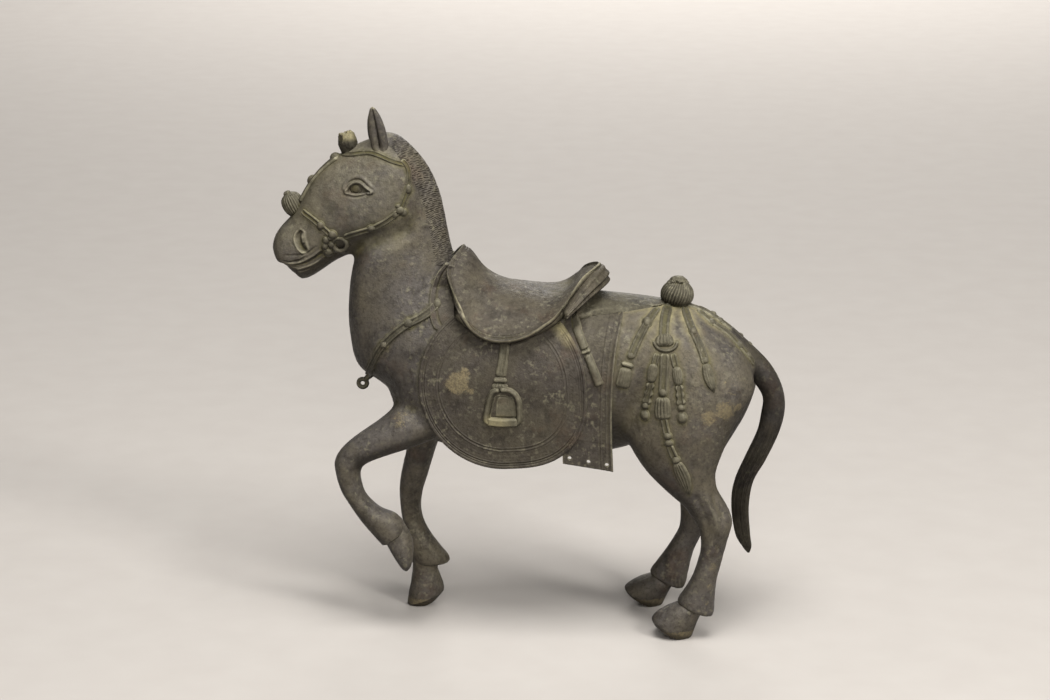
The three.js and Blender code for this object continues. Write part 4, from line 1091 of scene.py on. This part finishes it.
# The strap along the spine, and the ribbed ball with its knob where all the straps meet.
spine = bmesh.new()
SPINE = [(80, 0), (88, 0), (97, 0), (105, 0), (112.4, 0)]
band(spine, laid(top_spot, SPINE), 4.4, 1.2)
stud(spine, top_spot(96.9, 0), 2.2, 0.9)
stud(spine, top_spot(111.2, 0), 2.3, 0.9)
RUMP_BALL = [(5.6, -4.5), (5.9, -1.5), (6.6, -0.1), (7.6, 1), (8.2, 2.6), (8.3, 4.6), (7.9, 6.4), (6.9, 8.1)]
RUMP_BALL += [(5.7, 9.5), (4.8, 10.4), (4.4, 11.3), (3.3, 12.4), (1.8, 13.2), (0.1, 13.4)]
turned(spine, (75.4, 0, 167), (0.05, 0, 1), RUMP_BALL, 180, 30, 0.1, 0.9)
for vert in spine.verts:
    if vert.co.z > 177:
        vert.co += Vector((vert.co.x - 75.4, vert.co.y, 0)) * 0.3 * noise.noise(vert.co * 0.5)
finished(spine, "rump_ball", HARNESS_BRONZE)

# The flaps and the cloth
# Stiff leather on the real horse: a round mudguard and a long square flap on each flank, and the edge of a
# saddle cloth in front. They hang over the body, touching it where it swells and clear of it below.

REACH_STEP = 2.0
REACH_X = np.arange(-64, 62, REACH_STEP)
REACH_Z = np.arange(176, 74, -REACH_STEP)


def reach_table(side):
    """How far out a sheet hangs at the places of a table: as far as the body above it reaches."""
    table = np.zeros((len(REACH_Z), len(REACH_X)))
    for column, x in enumerate(REACH_X):
        furthest = 0
        for row, z in enumerate(REACH_Z):
            point, _ = side_spot(side, x, z)
            furthest = max(furthest, side * point.y if point else 0)
            table[row, column] = furthest
    for _ in range(4):
        inner = table[1:-1, 1:-1] * 2 + table[:-2, 1:-1] + table[2:, 1:-1] + table[1:-1, :-2] + table[1:-1, 2:]
        table[1:-1, 1:-1] = inner / 6
    return table


def hang(table, x, z):
    """The table's value at any places."""
    row = np.clip((REACH_Z[0] - z) / REACH_STEP, 0, len(REACH_Z) - 1.001)
    column = np.clip((x - REACH_X[0]) / REACH_STEP, 0, len(REACH_X) - 1.001)
    i, j = row.astype(int), column.astype(int)
    a, b = row - i, column - j
    top = table[i, j] * (1 - b) + table[i, j + 1] * b
    low = table[i + 1, j] * (1 - b) + table[i + 1, j + 1] * b
    return top * (1 - a) + low * a


def ridges(d, *lines):
    """The height of raised lines, and of incised ones, at a distance d. Each has a distance, width and height."""
    return sum(height * bell(d - at, width) for at, width, height in lines)


def sheet(name, side, table, edges, rise, across, along, thick):
    """A hanging sheet between two edges, each a list of places. rise gives its height from both shares."""
    behind = across // 8

    def place(around, way):
        back, share = both_faces(around, across, behind)
        even = np.linspace(0, 1, along + 1)
        start, end = (picked(respaced(flowing(edge, 20), even), way) for edge in edges)
        x, z = (start + (end - start) * share[:, None]).T
        ends = np.minimum(np.minimum(share * across, (1 - share) * across), np.minimum(way, 1 - way) * along)
        soft = np.interp(ends, [0, 1, 2], [0.62, 0.9, 1])
        out = np.where(back, rise(share, way) - thick, rise(share, way) * soft)
        return np.stack([x, side * (hang(table, x, z) + out), z], 1)

    return bent_piece(name, FLAP_BRONZE, across + behind, along, place)


ROUND_X, ROUND_Z, ROUND_CUT = -8.6, 130.4, 163.6  # the round flap's middle, and where its top is cut off
ROUND_LIFT, ROUND_THICK = 1.3, 1.9
# Radii of the rings of points in front, close together where there are lines, and at the back.
ROUND_FRONT = [*np.linspace(0.4, 29.4, 18), *np.arange(29.7, 37.3, 0.24), *np.arange(37.4, 41.61, 0.2)]
ROUND_RINGS = np.array(ROUND_FRONT + [41.3, 38, 30, 18, 0.4])

# Places for the square flap: its front edge is hidden under the round one.
REAR_EDGE = [(50.2, 165.6), (48.2, 155.7), (46.7, 144.5), (45.9, 132.4), (45.5, 119.5), (45.7, 104.7), (46.4, 88.2)]
FRONT_EDGE = [(22, 165.2), (21, 155), (21, 144), (21, 132), (21, 119.5), (21.2, 105), (21.6, 92)]
HOLES = [(24.9, 95), (34.2, 93.2), (43.2, 91.8)]
HOLE_RADIUS = 0.95


def round_flap(name, side, table):
    """The round flap: a rolled rim, two pairs of lines, and two rows of punched dots between them."""

    def place(around, way):
        k = nearest(way, len(ROUND_RINGS))
        r = ROUND_RINGS[k]
        turn = 2 * np.pi * around
        bulge = 1 + 0.1 * bell(turn - 2.29, 0.77)
        x, z = ROUND_X + r * bulge * np.sin(turn), ROUND_Z + r * bulge * np.cos(turn)
        lift = ROUND_LIFT + ridges(r, (30.9, 0.5, 0.2), (32.4, 0.5, 0.22), (31.65, 0.4, -0.12))
        lift += ridges(r, (38.2, 0.45, 0.2), (39.4, 0.45, 0.22), (38.8, 0.3, -0.1))
        lift += 0.5 * ramp(r, 39.9, 40.25) - 0.7 * ramp(r, 41.1, 41.6) ** 2
        lift -= 0.2 * np.clip(np.cos(turn * 118) * (bell(r - 34.3, 0.8) + bell(r - 36.2, 0.8)), 0, 1)
        lift = np.where(k >= len(ROUND_FRONT), ROUND_LIFT - ROUND_THICK, lift)
        lift -= 0.3 * ramp(z, ROUND_CUT, ROUND_CUT + 0.01)
        z = np.minimum(z, ROUND_CUT)
        return np.stack([x, side * (hang(table, x, z) + lift), z], 1)

    bent_piece(name, FLAP_BRONZE, 354, len(ROUND_RINGS) - 1, place)


def front_cloth(name, side, table):
    """The edge of the saddle cloth in front, with a line inside its rim."""
    outer = [(-37.8, 188), (-41.8, 183.4), (-44, 178.4), (-45.3, 173.4), (-45.5, 168), (-44.6, 162.2), (-42.8, 158.2)]
    outer += [(-40, 156.8), (-36, 156.8), (-30, 157.4)]
    inner = [(-30, 184), (-30, 181), (-30, 177), (-29.4, 172.8), (-29, 168), (-28.6, 164.6), (-28.4, 162.6)]
    inner += [(-28, 161.8), (-27, 161.4), (-26, 161)]

    def rise(share, way):
        return 0.9 + 0.5 * ramp(share, 0.79, 0.84) - 0.35 * bell(share - 0.78, 0.05)

    sheet(name, side, table, (inner, outer), rise, 54, 110, 2.6)


def rear_flap(name, side, table):
    """The square flap: a rim, lines inside it with a row of dots between them, and a step near its foot."""

    def rise(share, way):
        d = (1 - share) * 25.0
        lift = 0.8 + ridges(d, (0.6, 0.9, 0.35), (2.0, 0.4, -0.2), (2.9, 0.4, 0.3))
        lift += ridges(d, (5.4, 0.45, 0.3), (6.3, 0.4, -0.18))
        lift -= 0.14 * np.clip(np.cos(way * 2 * np.pi * 46), 0, 1) * bell(d - 4.1, 0.7)
        return lift - 0.12 * ramp(way, 0.815, 0.823)

    return sheet(name, side, table, (FRONT_EDGE, REAR_EDGE), rise, 88, 250, 1.7)


def drilled(flap, side, table):
    """Cuts the lacing holes through the square flap."""
    for x, z in HOLES:
        drill = bmesh.new()
        out = float(hang(table, np.array([x]), np.array([z]))[0])
        place = Matrix.Scale(MM, 4) @ Matrix.Translation(DRAWING_ZERO) @ Matrix.Translation((x, side * out, z))
        place = place @ Matrix.Rotation(math.radians(90), 4, "X")
        radii = {"radius1": HOLE_RADIUS, "radius2": HOLE_RADIUS}
        bmesh.ops.create_cone(drill, cap_ends=True, segments=28, depth=12, matrix=place, **radii)
        pin = link("drill", bpy.data.meshes.new("drill"))
        drill.to_mesh(pin.data)
        drill.free()
        cut = flap.modifiers.new("hole", "BOOLEAN")
        cut.object = pin
        cut.operation = "DIFFERENCE"
        cut.solver = "EXACT"
        mesh = bpy.data.meshes.new_from_object(flap.evaluated_get(bpy.context.evaluated_depsgraph_get()))
        flap.modifiers.clear()
        flap.data = mesh
        bpy.data.objects.remove(pin)


for side, hand in SIDES:
    table = reach_table(side)
    round_flap("round_flap_" + hand, side, table)
    front_cloth("front_cloth_" + hand, side, table)
    drilled(rear_flap("rear_flap_" + hand, side, table), side, table)

    def hung(path, lift=1.2):
        """A path laid on the flaps."""
        stops = resampled(path, 0.45)
        points = np.stack([stops[:, 0], side * (hang(table, *stops.T) + lift), stops[:, 1]], 1)
        return points, np.tile((0.0, side, 0.0), (len(stops), 1))

    # The stirrup: a leather with raised edges, two cast blocks, and a footplate in a frame shaped like a bell.
    stirrup = bmesh.new()
    band(stirrup, hung([(-6.9, 158), (-7.5, 150), (-8.1, 143), (-9.1, 135.7)]), [4.8, 4.8, 5.4], 1.0)
    band(stirrup, hung([(-9.1, 135.8), (-9.2, 132.7)]), 6.8, 1.7, block_top)
    band(stirrup, hung([(-9.2, 132.9), (-9.3, 129.1)]), 8, 1.5, ribbed_top, columns=26)
    frame_path = [(-9.3, 129.2), (-12.2, 128.6), (-14.2, 125.2), (-15.6, 119.6), (-16.2, 114.4), (-14.8, 112.6)]
    frame_path += [(-9, 112), (-1.8, 112.4), (0, 114), (0.2, 119.4), (-0.4, 124.6), (-2.6, 128), (-5.6, 129.4)]
    frame_path += [(-9.6, 129.3)]
    band(stirrup, hung(frame_path), 3.1, 2.4, cord_top)
    band(stirrup, hung([(-15.9, 113.4), (-8, 112.9), (0, 113.4)]), 3.9, 2.8, block_top)
    inner = [(-9, 126.6), (-11.2, 126), (-12.5, 123), (-13.6, 118), (-13.9, 115.2), (-9, 114.9), (-2.4, 115.2)]
    inner += [(-2.6, 121.4), (-3.9, 124.6), (-6.2, 126.4), (-9, 126.6)]
    band(stirrup, hung(inner), 0.9, 1.3, cord_top, columns=8)
    band(stirrup, hung([(-6.8, 126.6), (-6.4, 121), (-6.2, 115)], 0.6), [8, 10.6, 11.4], 1.1, block_top)
    finished(stirrup, "stirrup_" + hand, HARNESS_BRONZE)

    # The girth strap behind the round flap: a flat tab, and a round cord with a joint, down to a rounded end.
    girth = bmesh.new()
    band(girth, hung([(24.6, 163), (26.4, 160.6), (28.4, 156.4)], 0.6), [6, 5.4, 4.8], 1.1, block_top)
    band(girth, hung([(26.6, 160), (29.2, 154.6), (32, 149.2)], 0.6), [5, 4.6, 4.4], 2.1, cord_top)
    band(girth, hung([(31.9, 149.6), (32.8, 147.4)], 0.6), 5.2, 2.4, block_top)
    band(girth, hung([(32.8, 147.6), (35.6, 141.4), (39.6, 131.8)], 0.6), [4.2, 4.4, 4.9], 2.2, cord_top)
    finished(girth, "girth_strap_" + hand, HARNESS_BRONZE)

# The pad on the spine behind the saddle, with a soft edge that stands off the flaps. X and half the width.
PAD = [(27, 19.4), (31, 18.8), (36, 16.4), (42, 15), (50, 14), (57, 12), (63, 9.4), (67, 7.4), (69.4, 5)]
pad_rows = flowing(PAD, 8)
PAD_ACROSS = 44


def place_pad(around, along):
    below, share = both_faces(around, PAD_ACROSS, PAD_ACROSS)
    s = 2 * share - 1
    x, half = picked(pad_rows, along).T
    points, faces = (np.array(column) for column in zip(*map(top_spot, x, half * s)))
    edge = np.interp(np.abs(s), [0, 0.9, 0.97, 1], [1, 1, 0.8, 0.2])
    thick = 1.6 * edge + 0.9 * (1 - np.abs(s)) + 0.25 * bell(np.abs(s) - 0.93, 0.06)
    rise = np.where(below, -1.4, thick * (1 - 0.5 * ramp(x, 36, 66)))
    return points + eased(faces, 2) * rise[:, None]


bent_piece("spine_pad", HARNESS_BRONZE, 2 * PAD_ACROSS, len(pad_rows) - 1, place_pad)

# The saddle
# Cast apart and set on the cloth: a curved leather seat with a high front and a cantle, its rim rubbed bright and
# two lines cut inside it, a thick roll behind the cantle, and the wooden tree that shows as a dark edge below.

# Arches from the pommel to the cantle: top X and Z on the middle line, a place half-way down, and one at the rim.
SADDLE = [
    (-30.9, 194, -37.6, -15, 184, -28.1, -31, 167.9),
    (-26.6, 191.6, -31.6, -17.5, 180.6, -25.8, -33.2, 162.9),
    (-19.6, 182.6, -24.4, -19, 175.4, -21.4, -34.8, 157.6),
    (-9.6, 176.6, -13.6, -20.2, 171.8, -14, -36, 154.4),
    (3, 174.4, -2, -20.5, 170.6, -4.4, -36, 154.2),
    (15, 173.2, 9.4, -20, 170.6, 4.6, -35.6, 157.2),
    (22, 174.6, 17, -19, 172, 11.4, -34, 161.6),
    (28.6, 180, 22.8, -17.6, 175.6, 16.8, -31.8, 165.4),
    (37.4, 186.2, 29.6, -15, 181.6, 22.3, -26, 170.8),
]
SADDLE_THICK = 2.0
SADDLE_BRONZE = bronze("saddle_bronze_look", "5f584a", "58524a", 1.8)

arches = flowing(SADDLE, 24)
seat = np.zeros((len(arches), 49, 3))
for row, (top_x, top_z, x1, y1, z1, x2, y2, z2) in enumerate(arches):
    seat[row] = flowing([(x2, y2, z2), (x1, y1, z1), (top_x, 0, top_z), (x1, -y1, z1), (x2, -y2, z2)], 12)


def close_at_ends(lines, fine, coarse, margin=0.055):
    """Every line of points again, at shares of its length that are close together near its ends."""
    near_end = np.arange(0, margin, fine)
    middle = np.linspace(margin, 1 - margin, max(3, int((1 - 2 * margin) / coarse)))
    shares = np.concatenate([near_end, middle, 1 - near_end[::-1]])
    return np.array([respaced(line, shares) for line in lines])


seat = close_at_ends(seat, 0.0028, 0.013)
seat = close_at_ends(seat.transpose(1, 0, 2), 0.0032, 0.014).transpose(1, 0, 2)
for _ in range(2):
    seat[:, 1:-1] = (seat[:, :-2] + 2 * seat[:, 1:-1] + seat[:, 2:]) / 4
    seat[1:-1] = (seat[:-2] + 2 * seat[1:-1] + seat[2:]) / 4
up = unit(np.cross(np.gradient(seat, axis=0), np.gradient(seat, axis=1)))
up *= np.sign(up[:, :, 2:3])
rows_run = np.cumsum(np.linalg.norm(np.diff(seat, axis=0, prepend=seat[:1]), axis=2), axis=0)
columns_run = np.cumsum(np.linalg.norm(np.diff(seat, axis=1, prepend=seat[:, :1]), axis=2), axis=1)
from_ends = np.minimum(rows_run, rows_run[-1:] - rows_run)
from_rims = np.minimum(columns_run, columns_run[:, -1:] - columns_run)
inwards = np.minimum(from_ends, from_rims)
relief = 0.45 * bell(inwards - 0.7, 1.0) - 0.36 * bell(inwards - 2.1, 0.45) - 0.3 * bell(inwards - 3.3, 0.42)
relief -= 0.5 * ramp(inwards, 0.35, 0)
seat_rows, seat_columns = inwards.shape


def place_seat(around, along):
    under, share = both_faces(around, seat_columns, seat_columns)
    spot = nearest(along, seat_rows), nearest(share, seat_columns)
    lift = np.where(under, -SADDLE_THICK * np.clip(0.6 + inwards[spot] / 1.2, 0, 1), relief[spot])
    return seat[spot] + up[spot] * lift[:, None]


seat_piece = bent_piece("saddle_seat", SADDLE_BRONZE, 2 * seat_columns, seat_rows - 1, place_seat)
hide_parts("saddle")

# The roll behind the cantle: the upper row of places is under the rim, the lower one where the roll ends.
ROLL = [
    (21.4, -27.4, 168.8, 21.2, -27.6, 164.4),
    (25.2, -23, 173.4, 25.8, -23.2, 168),
    (30.2, -16.4, 179.6, 32.2, -16.6, 172.6),
    (34.6, -9, 183.8, 36.8, -9.2, 175),
    (36.9, 0, 185.4, 39.2, 0, 176),
]
ROLL += [(a, -b, c, d, -e, f) for a, b, c, d, e, f in reversed(ROLL[:-1])]
ROLL_BULGE, ROLL_BURIED = 3.2, 3.4  # how far it stands out behind the cantle, and how deep it is in the seat
roll_rows = flowing(ROLL, 10)


def place_roll(around, along):
    high, low = np.split(picked(roll_rows, along), 2, axis=1)
    turn = 2 * np.pi * around
    down, behind = 0.5 - 0.5 * np.cos(turn), np.sin(turn)
    out = unit(low * (1, 1, 0) - np.array([6.0, 0, 0]))
    pleats = 1 + 0.16 * np.cos(down * 5 * np.pi)
    bulge = np.where(behind > 0, ROLL_BULGE * np.clip(behind, 0, 1) ** 0.8 * pleats, ROLL_BURIED * behind)
    return high + (low - high) * down[:, None] + out * bulge[:, None] + np.array([0.5, 0, -0.4])


bent_piece("saddle_roll", SADDLE_BRONZE, 72, len(roll_rows) - 1, place_roll)

TREE_ROWS, TREE_COLUMNS = 60, 70
TREE_TOP, TREE_FOOT = 1.0, 5.2  # how far under the seat the tree starts and ends


def place_tree(around, along):
    under, share = both_faces(around, TREE_COLUMNS, TREE_COLUMNS)
    rows = np.linspace(16, seat_rows - 15, TREE_ROWS).astype(int)
    columns = np.linspace(14, seat_columns - 15, TREE_COLUMNS).astype(int)
    spot = picked(rows, along), picked(columns, share)
    return seat[spot] - up[spot] * np.where(under, TREE_FOOT, TREE_TOP)[:, None]


bent_piece("saddle_tree", SADDLE_BRONZE, 2 * TREE_COLUMNS, TREE_ROWS - 1, place_tree)

# Wear, dirt and painted shade
# Hands rub the ridges bright, and dirt stays in the hollows and along the feet of the straps. Both are worked out
# here from the finished shapes, once everything is on the horse. Painted shade goes black in the deepest of those
# places, and darkens faces that look down or to the left, the tail, the ears' slits, the eyes and the foot of the
# forelock. A painted sheen runs down the near hind shin, and a painted highlight lies on the forelock's top.

STRAPS = ("bridle", "face", "breast", "croup", "rump", "stirrup", "girth")
PROUD = STRAPS + ("round_flap", "rear_flap", "front_cloth", "spine_pad", "saddle_tree")
ornaments = tree_of([v.co.copy() for p in pieces if p.name.startswith(PROUD) for v in list(p.data.vertices)[::2]])
horse_points = [v.co for v in horse_piece.data.vertices]
skin = BVHTree.FromPolygons(horse_points, [f.vertices for f in horse_piece.data.polygons])
RUMP_BALL_FOOT = (np.array((75.4, 0, 162)) + DRAWING_ZERO) * MM
# Where the brown is rubbed off the brass on the near side, and where a warm sheen is painted down the hind leg: X, Z,
# how far round them, and how much.
PATINA = [(100.7, 120.6, 10, 0.8), (107, 121.7, 4, 1), (93, 117.6, 9, 0.7), (103, 130, 9, 0.5)]  # rump and thigh
PATINA += [(100.4, 134.1, 1.2, 1)]
# The hind leg's spots paint a warm sheen down the near shin.
PATINA += [(98, 49, 6, 0.5), (96, 39, 6, 0.55), (94.6, 28, 6, 0.55), (93, 20, 5, 0.45), (80, 11, 4, 0.8)]  # hind leg
PATINA += [(-30.2, 131.8, 11, 0.95), (-27, 137, 6, 0.8), (-24, 128, 5, 0.7)]  # round flap
PATINA += [(-62.1, 155.9, 9, 0.5), (-59.6, 111, 11, 0.55)]  # breast

for piece in pieces:
    cast = Wax(piece.data)
    x, _, z = (cast.co / MM - DRAWING_ZERO).T
    ends = cast.co[cast.edges]
    lengths = np.linalg.norm(ends[:, 0] - ends[:, 1], axis=1)
    count = np.maximum(1, np.bincount(cast.edges[:, 0], minlength=len(cast.co)))
    size = np.maximum(1e-5, np.bincount(cast.edges[:, 0], lengths, len(cast.co)) / count)
    bend = np.sum((cast.around(cast.co) - cast.co) * cast.normals(), axis=1) / cast.around(size)
    for _ in range(2):
        bend = cast.around(bend)
    wide = bend.copy()
    for _ in range(10):
        wide = cast.around(wide)
    face_x, _, face_z = cast.normals().T
    # Ridges are rubbed bright. Hollows hold olive dirt, with painted shade in the deepest of them.
    worn, dirt = np.clip(-bend * 6 - 0.3, 0, 1), np.clip(wide * 12, 0, 1)
    # Painted shade: darker where a face looks down or to the left.
    under = np.clip(0.2 - 0.6 * face_z, 0, 1) + 1.5 * ramp(face_z, -0.1, -1.1) + 1.5 * ramp(face_x, -0.5, -1.5)
    brass, residue = np.zeros((2, len(cast.co)))
    if piece.name.startswith(STRAPS):
        depth = np.array([skin.find_nearest(point)[3] or 1 for point in cast.co])
        # Olive dirt along the feet of the straps, painted dark as shade where they meet the body.
        dirt = np.maximum(dirt, np.clip(1.1 - depth / 0.0007, 0, 1))
        worn = np.maximum(worn, 0.3 * np.clip(depth / 0.001 - 0.5, 0, 1) * (bend < 0.03))
    elif piece.name.startswith(("horse", "ear", "mane")):
        gap = distance_to(cast.co, ornaments)
        dirt = np.maximum(dirt, 0.5 * np.clip(1.1 - gap / 0.0016, 0, 1))
        by_ball = bell(np.linalg.norm(cast.co - RUMP_BALL_FOOT, axis=1), 0.04)
        residue = by_ball * np.clip(1.2 - gap / 0.003, 0, 1)
    if piece is horse_piece:
        to_rim, _ = near_path(x, z, flowing(NOSTRIL_RIM, 6))
        worn = np.maximum(worn, 0.9 * bell(to_rim, 1.3) * (z < 206))
        worn = np.maximum(worn, 0.3 * ramp(z, 188, 198) * ramp(x, -56, -62))
    elif piece.name == "mane":
        dirt, worn = dirt * 0.12, worn * 0.2
    elif piece.name == "tail":
        # Painted shade over the whole tail.
        under += 0.7
    elif piece.name == "forelock":
        # A painted highlight on the top of the forelock, and painted shade below it.
        residue = 0.75 * ramp(z, 245.5, 247.5)
        under += 0.6 * ramp(z, 246, 244)
    elif piece.name.startswith("ear"):
        # Painted shade in the ear's slit.
        under += np.clip(wide * 50, 0, 1)
    elif piece.name.startswith("eye"):
        # Olive in the eyes, and painted shade over them.
        dirt, worn = np.full(len(cast.co), 0.7), worn * 0.3
        under += 0.3
    elif piece.name.startswith("hoof"):
        brass = 0.9 * ramp(z, 7, 3)
    elif piece.name.startswith("stirrup"):
        residue = 0.7 * ramp(z, 118, 114) * ramp(x, -3, -9)
    elif piece.name.startswith("round_flap"):
        by_saddle = bell(np.hypot(x - 21.5, z - 157.5), 11)
        residue = by_saddle * ramp(np.hypot(x - ROUND_X, z - ROUND_Z), 35, 39)
    elif piece.name == "saddle_seat":
        rims = tree_of(np.concatenate([seat[0], seat[-1], seat[:, 0], seat[:, -1]]))
        to_rim = distance_to(cast.co / MM - DRAWING_ZERO, rims)
        worn = np.maximum(0.5 * np.clip(-bend * 6 - 0.6, 0, 1), bell(to_rim, 1.0))
        residue = 0.4 * bell(to_rim, 0.6)
    if piece.name in ("horse_body", "round_flap_near"):
        for at_x, at_z, reach, strength in PATINA:
            patch = strength * bell(np.hypot(x - at_x, z - at_z), reach)
            brass = np.maximum(brass, patch * (cast.co[:, 1] < -0.01))
    for mark, values in zip(MARKS, (worn, dirt, brass, residue, under)):
        layer = piece.data.attributes.new(mark, "FLOAT", "POINT")
        layer.data.foreach_set("value", np.clip(values, 0, 1).astype(np.float32))

# The studio
# A pale paper floor, soft boxes in front, to the right and above, and a lamp for the far end of the paper.

bpy.ops.mesh.primitive_plane_add(size=14)
floor = bpy.context.object
floor.name = "floor"
paper, paper_start = blank_look("paper")
paper_place = paper_start.node("TexCoord", out="Object")
fibres = paper_start.node("TexNoise", {"Vector": paper_place, "Scale": 40.0, "Detail": 6.0})
tone = fibres.between(colour("c4beb8"), colour("ccc7c1"))
matt = paper_start.node("BsdfPrincipled", {"Base Color": tone, "Roughness": 0.9, "Specular IOR Level": 0.2})
paper_start.node("OutputMaterial", {"Surface": matt})
floor.data.materials.append(paper)


def aimed(name, data, place, backwards):
    """Puts a camera or a lamp at a place in metres, turned away from the direction that is behind it."""
    thing = link(name, data)
    thing.location = place
    thing.rotation_euler = backwards.to_track_quat("Z", "Y").to_euler()
    return thing


LENS, SENSOR = 96, 36  # millimetres
CAMERA_AWAY = 1400  # millimetres from the middle of the picture
azimuth, elevation = math.radians(5), math.radians(15)
middle = Vector((0, 0, 140.6)) + Vector(DRAWING_ZERO)
flat = math.cos(elevation)
back = Vector((math.sin(azimuth) * flat, -math.cos(azimuth) * flat, math.sin(elevation)))
camera = aimed("camera", bpy.data.cameras.new("camera"), (middle + back * CAMERA_AWAY) * MM, back)
camera.data.lens = LENS
camera.data.sensor_width = SENSOR
bpy.context.scene.camera = camera

for name, spot, target, size, watts, tint in (
    ("front_softbox", (0.15, -1.5, 0.8), (0, 0, 0.1), 0.35, 5.5, (1, 0.98, 0.95)),
    ("right_softbox", (1.1, -1.0, 1.1), (0, 0, 0.1), 0.35, 12, (1, 0.98, 0.95)),
    ("top_softbox", (0.1, -0.5, 1.8), (0, 0, 0.1), 1.0, 32, (1, 0.985, 0.965)),
    ("backdrop_light", (0, 2.8, 1.3), (0, 2.2, 0.1), 1.6, 44, (1, 0.98, 0.96)),
):
    light = bpy.data.lights.new(name, "AREA")
    light.energy, light.size, light.color = watts, size, tint
    aimed(name, light, spot, Vector(spot) - Vector(target))
world = bpy.data.worlds.new("room")
bpy.context.scene.world = world
world.use_nodes = True
air = world.node_tree.nodes["Background"].inputs
air["Color"].default_value = (0.80, 0.79, 0.77, 1)
air["Strength"].default_value = 0.055
bpy.context.scene.view_settings.view_transform = "Standard"
